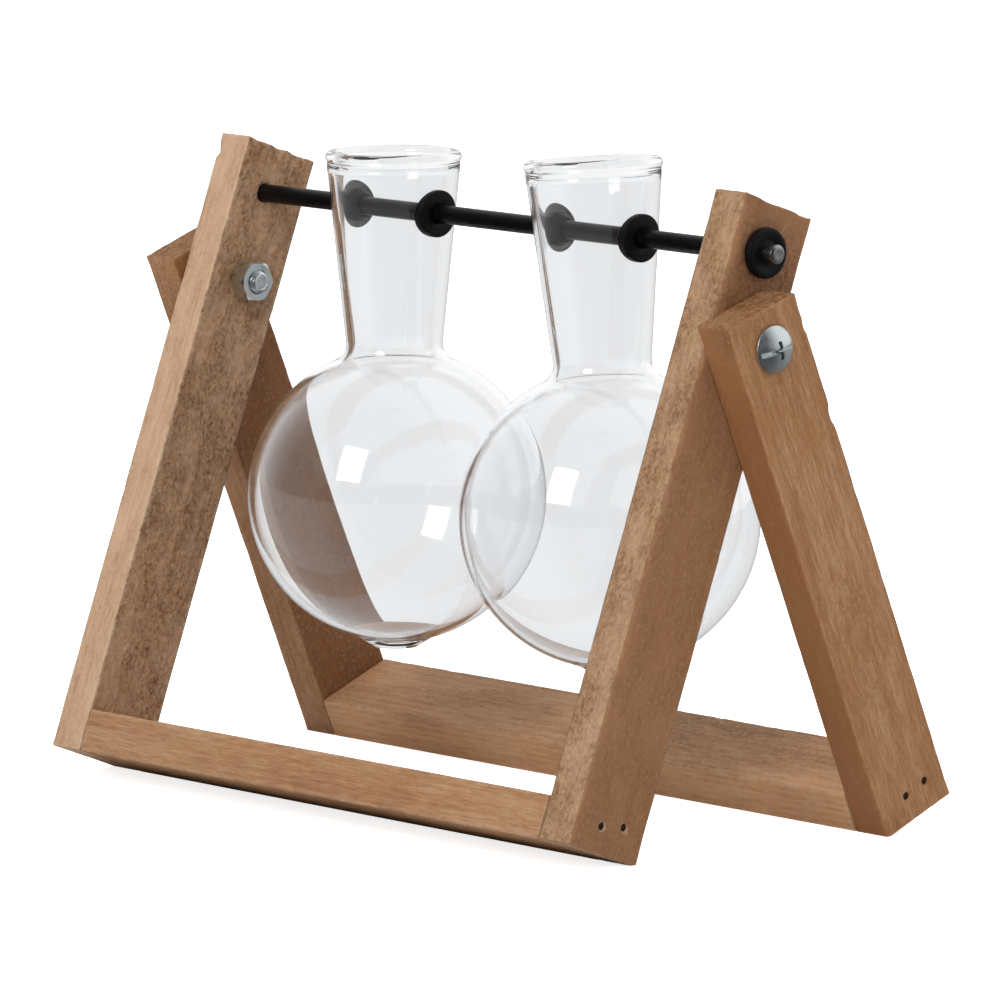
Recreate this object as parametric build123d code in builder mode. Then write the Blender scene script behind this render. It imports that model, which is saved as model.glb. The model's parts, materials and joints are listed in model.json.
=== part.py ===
from build123d import *
import os
from math import atan2, cos, degrees, radians, sin, sqrt, tan

# A folding wooden stand that carries two round glass vases on a rod.
# Lengths are in millimetres and angles in degrees. X runs along the rod, the
# front is at -Y, and the floor is Z = 0 with the origin under the stand's middle.

os.makedirs("parts", exist_ok=True)

sides = {"left": -1, "right": 1}

# Strip timber that every leg and rail is sawn from
strip_width = 25.0
strip_thickness = 12.0
arris_round = 0.8
end_round = 0.6
foot_flat_height = 0.8
worn_arris_round = 2.4

# Stand
front_leg_length = 175.0
front_lean_angle = 20.5
back_lean_angle = 22.8
rod_below_leg_top = 13.5
rod_setback = 10.7
pivot_below_rod = 24.5
back_leg_above_pivot = 11.3
back_leg_saw_slants = {"left": 2.0, "right": 4.5}

# Rod and its rubber stoppers
rod_diameter = 5.0
rod_end_chamfer = 0.6
rod_hole_clearance = 0.1
rod_overhang = 6.5
stopper_diameter = 13.4
stopper_thickness = 2.6
stopper_round = 0.9
stopper_end_play = 0.15

# Machine screws and nuts that the legs fold on
screw_diameter = 6.0
screw_hole_clearance = 0.1
screw_end_chamfer = 0.8
screw_end_past_nut = 1.4
screw_head_diameter = 12.7
screw_head_height = 3.3
screw_head_rim = 0.6
slot_width = 1.4
slot_depth = 2.0
slot_angle = 13.0
cross_span = 6.6
cross_width = 1.5
cross_depth = 2.8
nut_across_flats = 10.0
nut_thickness = 5.0
nut_corner_cut = 0.7
nut_corner_slope = 30.0
nut_turn_angle = 4.0

# Brads that hold the rails, two through each leg, placed in the rail's section
brad_diameter = 1.4
brad_length = 24.0
brad_head_diameter = 2.2
brad_head_thickness = 0.6
brad_head_sink = 0.5
brad_point = 0.5
front_brad_shares = ((0.376, 0.61), (0.684, 0.74))
back_brad_shares = ((0.288, 0.667), (0.584, 0.625))

# Blown glass vases
bulb_diameter = 80.0
bulb_wall = 1.6
neck_root_diameter = 25.5
neck_wall = 2.0
neck_root_fillet = 4.5
mouth_diameter = 36.8
rim_thickness = 3.6
rim_height = 3.0
rim_round_share = 0.42
rim_foot_fillet = 1.0
nub_diameter = 20.6
nub_flat_diameter = 11.0
nub_height = 1.6
nub_round = 0.6
neck_lengths = {"left": 53.5, "right": 55.0}
rod_below_mouths = {"left": 15.8, "right": 19.7}
vase_tilts = {"left": -0.5, "right": -4.2}

# Room beside and between the bulbs
left_side_gap = 14.2
bulb_gap = 5.9
right_side_gap = 5.9

# Rubber grommets in the glass
grommet_hole_diameter = 7.8
grommet_bore_clearance = 0.05
grommet_flange_diameter = 12.8
grommet_flange_thickness = 2.0
grommet_flange_round = 0.7
grommet_lip_diameter = 9.0
grommet_lip_end_diameter = 6.6
grommet_lip_length = 3.0

# Length that cutting tools run past a face
overrun = 1.0

# Places worked out from the sizes above
front_sin, front_cos = sin(radians(front_lean_angle)), cos(radians(front_lean_angle))
back_sin, back_cos = sin(radians(back_lean_angle)), cos(radians(back_lean_angle))
half_width = strip_width / 2
half_thickness = strip_thickness / 2

rod_up_leg = front_leg_length - rod_below_leg_top
pivot_up_leg = rod_up_leg - pivot_below_rod

front_foot_z = strip_width * front_sin - foot_flat_height
back_foot_z = strip_width * back_sin - foot_flat_height
pivot_z = front_foot_z + pivot_up_leg * front_cos - half_width * front_sin
pivot_up_back_leg = (pivot_z - back_foot_z + half_width * back_sin) / back_cos
back_leg_length = pivot_up_back_leg + back_leg_above_pivot

pivot_from_front = pivot_up_leg * front_sin + half_width * front_cos
pivot_from_back = pivot_up_back_leg * back_sin + half_width * back_cos
front_foot_y = -(pivot_from_front + pivot_from_back) / 2
back_foot_y = -front_foot_y
pivot_y = front_foot_y + pivot_from_front
rod_y = front_foot_y + rod_up_leg * front_sin + rod_setback * front_cos
rod_z = front_foot_z + rod_up_leg * front_cos - rod_setback * front_sin

rail_length = left_side_gap + bulb_diameter + bulb_gap + bulb_diameter + right_side_gap
leg_inner_x = rail_length / 2
leg_joint_x = leg_inner_x + strip_thickness
leg_outer_x = leg_joint_x + strip_thickness

# The stand shuts until the back rail meets the back edges of the front legs
rail_from_pivot = pivot_up_back_leg - strip_thickness
shut_angle = 2 * degrees(atan2(half_width, rail_from_pivot))
fold_travel = front_lean_angle + back_lean_angle - shut_angle
print(f"pivot y {pivot_y:.3f} z {pivot_z:.3f}, rod y {rod_y:.3f} z {rod_z:.3f}")
print(f"the stand folds shut through {fold_travel:.2f} degrees")


def front_plane(x):
    """Side view of the front legs: across the strip, then up the leg."""
    return Plane(
        origin=(x, front_foot_y, front_foot_z),
        x_dir=(0, front_cos, -front_sin),
        z_dir=(1, 0, 0),
    )


def back_plane(x):
    """Side view of the back legs: across the strip from its back, then up the leg."""
    return Plane(
        origin=(x, back_foot_y, back_foot_z),
        x_dir=(0, -back_cos, -back_sin),
        z_dir=(-1, 0, 0),
    )


def cross_plane(x, y, z, side=1):
    """Plane square to the X axis that faces outwards on the given side."""
    return Plane(origin=(x, y, z), x_dir=(0, 1, 0), z_dir=(side, 0, 0))


def lengthwise_plane(x, y, z, side=1):
    """Plane along the X axis: outwards on the given side, then up."""
    return Plane(origin=(x, y, z), x_dir=(side, 0, 0), z_dir=(0, -side, 0))


def save(builder, name):
    """Label a finished piece and write it under the same name."""
    builder.part.label = name
    export_step(builder.part, f"parts/{name}.step")


def brad_spots(shares):
    """Brad places in a rail's section, from their shares of its two sides."""
    return [(strip_width * across, strip_thickness * up) for across, up in shares]


# Front legs: long strips that lean back and carry the rod near their tops
front_arris_rounds = {"left": arris_round, "right": worn_arris_round}
for name, side in sides.items():
    leg_plane = front_plane(side * (leg_inner_x + half_thickness))
    with BuildPart() as front_leg:
        with BuildSketch(leg_plane):
            Rectangle(strip_width, front_leg_length, align=(Align.MIN, Align.MIN))
        extrude(amount=half_thickness, both=True)
        arrises = front_leg.edges().filter_by(Axis(leg_plane.origin, leg_plane.y_dir))
        front_arrises = arrises.sort_by(Axis(leg_plane.origin, leg_plane.x_dir))[:2]
        worn_arris = front_arrises.sort_by(Axis((0, 0, 0), (side, 0, 0)))[-1]
        fillet([edge for edge in arrises if edge != worn_arris], radius=arris_round)
        worn_arris = (
            front_leg.edges()
            .filter_by(Axis(leg_plane.origin, leg_plane.y_dir))
            .sort_by_distance(worn_arris.center())[0]
        )
        fillet(worn_arris, radius=front_arris_rounds[name])
        leg_ends = front_leg.faces().filter_by(Plane(leg_plane.origin, z_dir=leg_plane.y_dir))
        fillet(leg_ends.edges(), radius=end_round)
        with BuildSketch(leg_plane):
            with Locations((rod_setback, rod_up_leg)):
                Circle(rod_diameter / 2 + rod_hole_clearance)
            with Locations((half_width, pivot_up_leg)):
                Circle(screw_diameter / 2 + screw_hole_clearance)
            with Locations(*brad_spots(front_brad_shares)):
                Circle(brad_diameter / 2)
        extrude(amount=half_thickness + overrun, both=True, mode=Mode.SUBTRACT)
        with BuildSketch(front_plane(side * (leg_joint_x - brad_head_sink - brad_head_thickness))):
            with Locations(*brad_spots(front_brad_shares)):
                Circle(brad_head_diameter / 2)
        extrude(
            amount=side * (brad_head_sink + brad_head_thickness + overrun), mode=Mode.SUBTRACT
        )
        split(bisect_by=Plane.XY, keep=Keep.TOP)
    save(front_leg, f"front_leg_{name}")

# Back legs: shorter strips outside the front ones, leaning the other way
for name, side in sides.items():
    leg_plane = back_plane(side * (leg_joint_x + half_thickness))
    saw_rise = half_width * sin(radians(back_leg_saw_slants[name]))
    with BuildPart() as back_leg:
        with BuildSketch(leg_plane):
            with BuildLine():
                Polyline(
                    (0, 0),
                    (strip_width, 0),
                    (strip_width, back_leg_length + saw_rise),
                    (0, back_leg_length - saw_rise),
                    close=True,
                )
            make_face()
        extrude(amount=half_thickness, both=True)
        fillet(
            back_leg.edges().filter_by(Axis(leg_plane.origin, leg_plane.y_dir)),
            radius=arris_round,
        )
        foot_end = back_leg.faces().sort_by(Axis(leg_plane.origin, leg_plane.y_dir))[0]
        top_end = back_leg.faces().sort_by(Axis(leg_plane.origin, leg_plane.y_dir))[-1]
        fillet(foot_end.edges() + top_end.edges(), radius=end_round)
        with BuildSketch(leg_plane):
            with Locations((half_width, pivot_up_back_leg)):
                Circle(screw_diameter / 2 + screw_hole_clearance)
            with Locations(*brad_spots(back_brad_shares)):
                Circle(brad_diameter / 2)
        extrude(amount=half_thickness + overrun, both=True, mode=Mode.SUBTRACT)
        with BuildSketch(back_plane(side * (leg_outer_x - brad_head_sink - brad_head_thickness))):
            with Locations(*brad_spots(back_brad_shares)):
                Circle(brad_head_diameter / 2)
        extrude(
            amount=-side * (brad_head_sink + brad_head_thickness + overrun), mode=Mode.SUBTRACT
        )
        split(bisect_by=Plane.XY, keep=Keep.TOP)
    save(back_leg, f"back_leg_{name}")

# Rails: the same strip laid flat between each pair of legs, flush with their feet
rails = {
    "front_rail": (front_plane, leg_inner_x, front_brad_shares),
    "back_rail": (back_plane, leg_joint_x, back_brad_shares),
}
brad_in_rail = brad_length - (strip_thickness - brad_head_sink - brad_head_thickness)
for name, (side_plane, half_length, brad_shares) in rails.items():
    with BuildPart() as rail:
        with BuildSketch(side_plane(0)):
            Rectangle(strip_width, strip_thickness, align=(Align.MIN, Align.MIN))
        extrude(amount=half_length, both=True)
        fillet(rail.edges().filter_by(Axis.X), radius=arris_round)
        for side in sides.values():
            with BuildSketch(side_plane(side * half_length)):
                with Locations(*brad_spots(brad_shares)):
                    Circle(brad_diameter / 2)
            inwards = -side * side_plane(0).z_dir.X
            extrude(amount=inwards * brad_in_rail, mode=Mode.SUBTRACT)
        split(bisect_by=Plane.XY, keep=Keep.TOP)
    save(rail, name)

# Brads: headed nails punched a little below the legs' outer faces
brad_rows = {
    "front_brad": (front_plane, leg_joint_x, front_brad_shares),
    "back_brad": (back_plane, leg_outer_x, back_brad_shares),
}
for row_name, (side_plane, face_x, brad_shares) in brad_rows.items():
    for name, side in sides.items():
        for number, (across, up) in enumerate(brad_spots(brad_shares), start=1):
            spot = side_plane(0).from_local_coords(Vector(across, up, 0))
            head_top = cross_plane(side * (face_x - brad_head_sink), spot.Y, spot.Z, side)
            with BuildPart() as brad:
                with BuildSketch(head_top):
                    Circle(brad_head_diameter / 2)
                extrude(amount=-brad_head_thickness)
                with BuildSketch(head_top.offset(-brad_head_thickness)):
                    Circle(brad_diameter / 2)
                extrude(amount=-brad_length)
                tip_edge = brad.edges().sort_by(Axis(spot, (side, 0, 0)))[0]
                chamfer(tip_edge, length=brad_point)
            save(brad, f"{row_name}_{name}_{number}")

# Rod: one bar through both front legs and both vases, bevelled at its ends
rod_half_length = leg_joint_x + rod_overhang
with BuildPart() as rod:
    with BuildSketch(cross_plane(0, rod_y, rod_z)):
        Circle(rod_diameter / 2)
    extrude(amount=rod_half_length, both=True)
    chamfer(rod.edges().filter_by(GeomType.CIRCLE), length=rod_end_chamfer)
save(rod, "rod")

# Rod stoppers: rubber rings that grip the rod outside the front legs
for name, side in sides.items():
    with BuildPart() as stopper:
        with BuildSketch(cross_plane(side * (leg_joint_x + stopper_end_play), rod_y, rod_z, side)):
            Circle(stopper_diameter / 2)
            Circle(rod_diameter / 2, mode=Mode.SUBTRACT)
        extrude(amount=stopper_thickness)
        rims = stopper.edges().filter_by(GeomType.CIRCLE).sort_by(SortBy.RADIUS)[-2:]
        fillet(rims, radius=stopper_round)
    save(stopper, f"rod_stopper_{name}")

# Pivot screws: domed heads with a slot and a cross, on the back legs' outer faces
nut_outer_x = leg_inner_x - nut_thickness
screw_end_x = nut_outer_x - screw_end_past_nut
for name, side in sides.items():
    head_seat = cross_plane(side * leg_outer_x, pivot_y, pivot_z, side)
    crown = head_seat.offset(screw_head_height).rotated((0, 0, side * slot_angle))
    with BuildPart() as screw:
        with BuildSketch(lengthwise_plane(side * leg_outer_x, pivot_y, pivot_z, side)):
            with BuildLine():
                Line((0, 0), (0, screw_head_diameter / 2))
                Line((0, screw_head_diameter / 2), (screw_head_rim, screw_head_diameter / 2))
                TangentArc(
                    (screw_head_height, 0),
                    (screw_head_rim, screw_head_diameter / 2),
                    tangent=(0, 1),
                )
                Line((0, 0), (screw_head_height, 0))
            make_face()
        revolve(axis=Axis((side * leg_outer_x, pivot_y, pivot_z), (1, 0, 0)))
        with BuildSketch(head_seat):
            Circle(screw_diameter / 2)
        extrude(amount=-(leg_outer_x - screw_end_x))
        end_edge = screw.edges().sort_by(Axis((0, 0, 0), (side, 0, 0)))[0]
        chamfer(end_edge, length=screw_end_chamfer)
        with BuildSketch(crown):
            Rectangle(screw_head_diameter + overrun, slot_width)
        extrude(amount=-slot_depth, mode=Mode.SUBTRACT)
        with BuildSketch(crown):
            Rectangle(cross_span, cross_width)
            Rectangle(cross_width, cross_span)
        extrude(amount=-cross_depth, mode=Mode.SUBTRACT)
    save(screw, f"pivot_screw_{name}")

# Pivot nuts: hexagons with bevelled corners against the front legs' inner faces
nut_corner_radius = nut_across_flats / sqrt(3)
nut_face_radius = nut_corner_radius - nut_corner_cut
nut_bevel = nut_corner_cut * tan(radians(nut_corner_slope))
for name, side in sides.items():
    nut_seat = cross_plane(side * leg_inner_x, pivot_y, pivot_z, side)
    with BuildPart() as nut:
        with BuildSketch(nut_seat.rotated((0, 0, -side * nut_turn_angle))):
            RegularPolygon(nut_across_flats / 2, side_count=6, major_radius=False)
        extrude(amount=-nut_thickness)
        with BuildSketch(lengthwise_plane(side * leg_inner_x, pivot_y, pivot_z, side)):
            with BuildLine():
                Polyline(
                    (0, screw_diameter / 2),
                    (0, nut_face_radius),
                    (-nut_bevel, nut_corner_radius),
                    (nut_bevel - nut_thickness, nut_corner_radius),
                    (-nut_thickness, nut_face_radius),
                    (-nut_thickness, screw_diameter / 2),
                    close=True,
                )
            make_face()
        revolve(axis=Axis(nut_seat.origin, nut_seat.z_dir), mode=Mode.INTERSECT)
    save(nut, f"pivot_nut_{name}")

# Vases: a round bulb on a small flattened nub, under a neck that widens to a thick rim
bulb_radius = bulb_diameter / 2
bulb_inner_radius = bulb_radius - bulb_wall
neck_root_radius = neck_root_diameter / 2
neck_root_inner_radius = neck_root_radius - neck_wall
mouth_radius = mouth_diameter / 2
rim_inner_radius = mouth_radius - rim_thickness
bulb_xs = {
    "left": left_side_gap + bulb_radius - leg_inner_x,
    "right": leg_inner_x - right_side_gap - bulb_radius,
}


def sphere_height(sphere_radius, radius):
    """Height above a sphere's centre where its surface has the given radius."""
    return sqrt(sphere_radius**2 - radius**2)


def radius_at(height, low, high):
    """Radius at a height on the straight line between two (radius, height) points."""
    return low[0] + (high[0] - low[0]) * (height - low[1]) / (high[1] - low[1])


def nearest_corner(sketch, point):
    """Corner of a sketch that lies at the given point."""
    return sketch.vertices().sort_by_distance(point)[0]


neck_root = (neck_root_radius, sphere_height(bulb_radius, neck_root_radius))
neck_inner_root = (
    neck_root_inner_radius,
    sphere_height(bulb_inner_radius, neck_root_inner_radius),
)
nub_flat_edge = (nub_flat_diameter / 2, -bulb_radius - nub_height)
nub_root = (nub_diameter / 2, -sphere_height(bulb_radius, nub_diameter / 2))

for name, side in sides.items():
    tilt_sin, tilt_cos = sin(radians(vase_tilts[name])), cos(radians(vase_tilts[name]))
    mouth_height = bulb_radius + neck_lengths[name]
    rod_height = mouth_height - rod_below_mouths[name]
    mouth_edge = (mouth_radius, mouth_height)
    neck_inner_top = (mouth_radius - neck_wall, mouth_height)
    rim_inner_edge = (rim_inner_radius, mouth_height)
    rim_low_edge = (rim_inner_radius, mouth_height - rim_height)
    rim_foot_height = mouth_height - rim_height - (rim_thickness - neck_wall)
    rim_foot = (radius_at(rim_foot_height, neck_inner_root, neck_inner_top), rim_foot_height)
    vase_plane = Plane(
        origin=(bulb_xs[name], rod_y, rod_z - rod_height * tilt_cos),
        x_dir=(tilt_cos, 0, -tilt_sin),
        z_dir=(0, -1, 0),
    )
    rod_x = bulb_xs[name] + rod_height * tilt_sin
    with BuildPart() as vase:
        with BuildSketch(vase_plane) as glass_section:
            with BuildLine():
                Polyline((0, -bulb_inner_radius), (0, nub_flat_edge[1]), nub_flat_edge, nub_root)
                ThreePointArc(nub_root, (bulb_radius, 0), neck_root)
                Polyline(
                    neck_root, mouth_edge, rim_inner_edge, rim_low_edge, rim_foot, neck_inner_root
                )
                ThreePointArc(neck_inner_root, (bulb_inner_radius, 0), (0, -bulb_inner_radius))
            make_face()
            fillet(nearest_corner(glass_section, neck_root), radius=neck_root_fillet)
            fillet(
                nearest_corner(glass_section, neck_inner_root),
                radius=neck_root_fillet + neck_wall,
            )
            for edge in (mouth_edge, rim_inner_edge, rim_low_edge):
                fillet(
                    nearest_corner(glass_section, edge), radius=rim_thickness * rim_round_share
                )
            fillet(nearest_corner(glass_section, rim_foot), radius=rim_foot_fillet)
            for edge in (nub_flat_edge, nub_root):
                fillet(nearest_corner(glass_section, edge), radius=nub_round)
        revolve(axis=Axis(vase_plane.origin, vase_plane.y_dir))
        with BuildSketch(cross_plane(rod_x, rod_y, rod_z)):
            Circle(grommet_hole_diameter / 2)
        extrude(amount=mouth_radius + overrun, both=True, mode=Mode.SUBTRACT)
    save(vase, f"vase_{name}")

    # The neck's outer form, filled in, which shapes the seats of the grommets' flanges
    with BuildPart() as neck_plug:
        with BuildSketch(vase_plane):
            with BuildLine():
                Polyline((0, neck_root[1]), neck_root, mouth_edge, (0, mouth_height), close=True)
            make_face()
        revolve(axis=Axis(vase_plane.origin, vase_plane.y_dir))

    # Grommets: a flange outside the neck, a sleeve through its wall and a tapered lip inside
    neck_at_rod = radius_at(rod_height, neck_root, mouth_edge)
    neck_inner_at_rod = radius_at(rod_height, neck_inner_root, neck_inner_top)
    wall_middle = (neck_at_rod + neck_inner_at_rod) / 2
    flange_face = neck_at_rod + grommet_flange_thickness
    lip_end = neck_inner_at_rod - grommet_lip_length
    bore_radius = rod_diameter / 2 + grommet_bore_clearance
    for place, way in {"outer": side, "inner": -side}.items():
        with BuildPart() as grommet:
            with BuildSketch(cross_plane(rod_x, rod_y, rod_z, way)):
                Circle(grommet_flange_diameter / 2)
            extrude(amount=flange_face)
            outwards = Axis((rod_x, rod_y, rod_z), (way, 0, 0))
            flange_rim = grommet.edges().filter_by(GeomType.CIRCLE).sort_by(outwards)[-1]
            fillet(flange_rim, radius=grommet_flange_round)
            add(neck_plug.part, mode=Mode.SUBTRACT)
            with BuildSketch(lengthwise_plane(rod_x, rod_y, rod_z, way)):
                with BuildLine():
                    Polyline(
                        (flange_face, 0),
                        (flange_face, grommet_hole_diameter / 2),
                        (wall_middle, grommet_hole_diameter / 2),
                        (wall_middle, grommet_lip_diameter / 2),
                        (neck_inner_at_rod, grommet_lip_diameter / 2),
                        (lip_end, grommet_lip_end_diameter / 2),
                        (lip_end, 0),
                        close=True,
                    )
                make_face()
            revolve(axis=Axis((rod_x, rod_y, rod_z), (1, 0, 0)))
            add(vase.part, mode=Mode.SUBTRACT)
            with BuildSketch(cross_plane(rod_x, rod_y, rod_z, way)):
                Circle(bore_radius)
            extrude(amount=flange_face + overrun, mode=Mode.SUBTRACT)
        save(grommet, f"grommet_{name}_{place}")
    print(f"{name} vase hangs at x {rod_x:.2f}, its bulb centre is at z {vase_plane.origin.Z:.2f}")
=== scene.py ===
import json
from math import atan2, cos, hypot, pi, radians, sin, sqrt, tan

import bmesh
import bpy
from bpy.props import FloatProperty, FloatVectorProperty, PointerProperty
from mathutils import Matrix, Vector, noise


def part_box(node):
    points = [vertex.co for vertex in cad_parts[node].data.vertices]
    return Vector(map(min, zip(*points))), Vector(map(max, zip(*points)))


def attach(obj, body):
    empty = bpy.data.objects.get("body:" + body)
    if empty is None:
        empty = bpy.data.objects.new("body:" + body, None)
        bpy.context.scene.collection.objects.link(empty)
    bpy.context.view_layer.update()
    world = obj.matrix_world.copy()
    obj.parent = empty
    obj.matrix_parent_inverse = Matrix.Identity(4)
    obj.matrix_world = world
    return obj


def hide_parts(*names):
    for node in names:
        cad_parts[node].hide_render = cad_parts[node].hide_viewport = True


bl_info = {
    "name": "Propagation Vase",
    "version": (1, 0, 0),
    "blender": (4, 5, 0),
    "location": "View3D > Sidebar > Propagation Vase",
    "description": "Two blown glass bulbs that hang on a rod in a folding wooden stand",
    "category": "Add Mesh",
}

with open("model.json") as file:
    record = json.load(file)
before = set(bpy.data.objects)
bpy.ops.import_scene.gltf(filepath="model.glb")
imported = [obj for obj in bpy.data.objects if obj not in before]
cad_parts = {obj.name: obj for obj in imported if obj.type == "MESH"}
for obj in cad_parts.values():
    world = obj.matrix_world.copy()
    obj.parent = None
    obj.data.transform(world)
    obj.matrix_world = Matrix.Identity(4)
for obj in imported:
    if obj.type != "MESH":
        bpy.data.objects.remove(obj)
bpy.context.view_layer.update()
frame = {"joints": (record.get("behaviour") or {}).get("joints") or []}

MM = 0.001
SIDES = {"left": -1, "right": 1}
joint_places = {joint["name"]: Vector(joint["pos_m"]) for joint in frame["joints"]}
pivot_place = joint_places["stand_fold"]
rod_place = joint_places["rod_turn"]


# Settings that a user would change


def linear(code):
    """Linear colour of an sRGB hex code, with full alpha."""
    channels = [int(code[start : start + 2], 16) / 255 for start in (1, 3, 5)]
    curved = [c / 12.92 if c <= 0.04045 else ((c + 0.055) / 1.055) ** 2.4 for c in channels]
    return (*curved, 1.0)


def length_setting(name, millimetres, description):
    """Length of at least zero, given in millimetres and shown in the scene's unit."""
    return FloatProperty(
        name=name,
        description=description,
        default=millimetres * MM,
        min=0.0,
        precision=5,
        unit="LENGTH",
        subtype="DISTANCE",
    )


def angle_setting(name, degrees, description):
    """Angle, given in degrees."""
    return FloatProperty(
        name=name,
        description=description,
        default=radians(degrees),
        unit="ROTATION",
        subtype="ANGLE",
    )


def colour_setting(name, code, description):
    """Colour, given as an sRGB hex code."""
    return FloatVectorProperty(
        name=name,
        description=description,
        default=linear(code),
        size=4,
        min=0.0,
        max=1.0,
        subtype="COLOR",
    )


def glow_setting(name, strength, description):
    """Strength of a glow, where 1 is the white of the surround."""
    return FloatProperty(name=name, description=description, default=strength, min=0.0)


def power_setting(name, watts, description):
    """Power of a lamp, given in watts."""
    return FloatProperty(
        name=name, description=description, default=watts, min=0.0, unit="POWER"
    )


class StandSettings(bpy.types.PropertyGroup):
    strip_width: length_setting("Strip width", 25.0, "Width of the sawn strip")
    strip_thickness: length_setting("Strip thickness", 12.0, "Thickness of the sawn strip")
    front_leg_length: length_setting("Front leg", 175.0, "Length of the legs that carry the rod")
    front_lean: angle_setting("Front lean", 20.5, "How far the front legs lean back")
    back_lean: angle_setting("Back lean", 22.8, "How far the back legs lean forward")
    pivot_up_leg: length_setting("Pivot height", 137.0, "Screw hole, measured up the front leg")
    back_leg_above_pivot: length_setting("Leg above pivot", 11.3, "Back leg above its screw")
    left_saw_slant: angle_setting("Left saw slant", 2.0, "Slant of the left back leg's top")
    right_saw_slant: angle_setting("Right saw slant", 4.5, "Slant of the right back leg's top")
    foot_flat: length_setting("Foot flat", 0.8, "Height that the feet are rubbed down by")
    arris_round: length_setting("Arris round", 0.8, "Rounding along the strip's edges")
    worn_arris_round: length_setting("Worn arris", 2.4, "Rounding of the most handled edge")
    end_round: length_setting("End round", 0.6, "Rounding of the strips' ends")
    fuzz_height: length_setting("Fuzz height", 0.34, "Depth of the rough sawn surface")
    left_front_tone: colour_setting("Left front leg", "#CDA98C", "Main tone of this strip")
    right_front_tone: colour_setting("Right front leg", "#BC9A7C", "Main tone of this strip")
    left_back_tone: colour_setting("Left back leg", "#A97C5A", "Main tone of this strip")
    right_back_tone: colour_setting("Right back leg", "#A3744C", "Main tone of this strip")
    front_rail_tone: colour_setting("Front rail", "#AC815D", "Main tone of this strip")
    back_rail_tone: colour_setting("Back rail", "#CB9C74", "Main tone of this strip")
    # The pale fibres also paint highlights on the lumps of rough faces and along the arrises; the
    # dark fibres also paint shade in the pits of rough faces
    pale_fibre_and_highlight: colour_setting("Pale fibres", "#DCC0A0", "Torn and worn fibres, bare of oil")
    dark_fibre_and_pit_shade: colour_setting("Dark fibres", "#65391A", "Fibres and pores that soaked up oil")
    torn_fibre: colour_setting("Torn faces", "#C9935F", "Raw faces as the saw tore them")
    # Painted shade: this colour darkens the faces turned from the light
    painted_shade_colour: colour_setting("Shaded faces", "#8A5A34", "Painted shade for faces turned from the light")


class VaseSettings(bpy.types.PropertyGroup):
    bulb_diameter: length_setting("Bulb", 80.0, "Outer diameter of the round bulb")
    bulb_wall: length_setting("Bulb wall", 1.6, "Glass thickness of the bulb")
    neck_root: length_setting("Neck root", 25.5, "Neck diameter where it leaves the bulb")
    neck_wall: length_setting("Neck wall", 2.0, "Glass thickness of the neck")
    neck_fillet: length_setting("Neck fillet", 4.5, "Rounding between the bulb and the neck")
    mouth: length_setting("Mouth", 36.8, "Outer diameter of the mouth")
    rim_thickness: length_setting("Rim thickness", 3.6, "Bead of the fire polished rim")
    rim_foot: length_setting("Rim foot", 4.8, "Where the bead runs out inside the neck")
    nub: length_setting("Nub", 20.6, "Diameter of the flattened nub under the bulb")
    nub_flat: length_setting("Nub flat", 11.0, "Diameter of the nub's flat")
    nub_height: length_setting("Nub height", 1.6, "How far the nub stands below the bulb")
    left_neck: length_setting("Left neck", 53.5, "Neck length of the left vase")
    right_neck: length_setting("Right neck", 55.0, "Neck length of the right vase")
    left_rod_drop: length_setting("Left rod drop", 15.8, "Rod below the left vase's mouth")
    right_rod_drop: length_setting("Right rod drop", 19.7, "Rod below the right vase's mouth")
    left_tilt: angle_setting("Left tilt", -0.5, "Sideways lean of the left vase")
    right_tilt: angle_setting("Right tilt", -4.2, "Sideways lean of the right vase")
    hole: length_setting("Grommet hole", 7.8, "Holes through the neck for the grommets")
    flange: length_setting("Grommet flange", 12.8, "Diameter of the grommets' flanges")
    flange_thickness: length_setting("Flange thickness", 2.0, "Thickness of the flanges")
    lip: length_setting("Grommet lip", 9.0, "Diameter of the grommets' inner lips")
    lip_end: length_setting("Lip end", 6.6, "Diameter at the end of the inner lips")
    lip_length: length_setting("Lip length", 3.0, "How far the lips reach into the neck")
    glass_tint: colour_setting("Glass tint", "#FCFDFE", "Tint of the clear glass")
    rubber: colour_setting("Rubber", "#0B0B0D", "Colour of the grommets and stoppers")


class HardwareSettings(bpy.types.PropertyGroup):
    rod: length_setting("Rod", 5.0, "Diameter of the rod")
    rod_chamfer: length_setting("Rod chamfer", 0.6, "Bevel at the rod's ends")
    stopper: length_setting("Stopper", 13.4, "Diameter of the rod's rubber stoppers")
    screw: length_setting("Screw", 6.0, "Thread diameter of the pivot screws")
    screw_head: length_setting("Screw head", 12.7, "Diameter of the domed head")
    screw_head_height: length_setting("Head height", 3.3, "Height of the domed head")
    thread_pitch: length_setting("Thread pitch", 1.0, "Distance from thread to thread")
    slot_width: length_setting("Slot width", 1.4, "Width of the head's slot")
    slot_depth: length_setting("Slot depth", 2.0, "Depth of the head's slot")
    slot_angle: angle_setting("Slot angle", 13.0, "Turn of the slot")
    cross_span: length_setting("Cross span", 6.6, "Span of the head's cross recess")
    cross_depth: length_setting("Cross depth", 2.8, "Depth of the head's cross recess")
    nut: length_setting("Nut", 10.0, "Width of the nuts across their flats")
    nut_turn: angle_setting("Nut turn", 4.0, "Turn of the nuts")
    brad: length_setting("Brad", 1.4, "Diameter of the brads")
    brad_head: length_setting("Brad head", 2.2, "Diameter of the brads' heads")
    brad_sink: length_setting("Brad sink", 0.5, "How far the brads are punched in")
    zinc: colour_setting("Zinc plate", "#DDE4E5", "Bright zinc on the screws and nuts")
    bare_steel: colour_setting("Bare steel", "#A7A7A6", "Turned ends of the rod")
    rod_black: colour_setting("Rod black", "#09090B", "Black finish of the rod")
    brad_steel: colour_setting("Brad steel", "#4A433D", "Dull wire steel of the brads")


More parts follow.
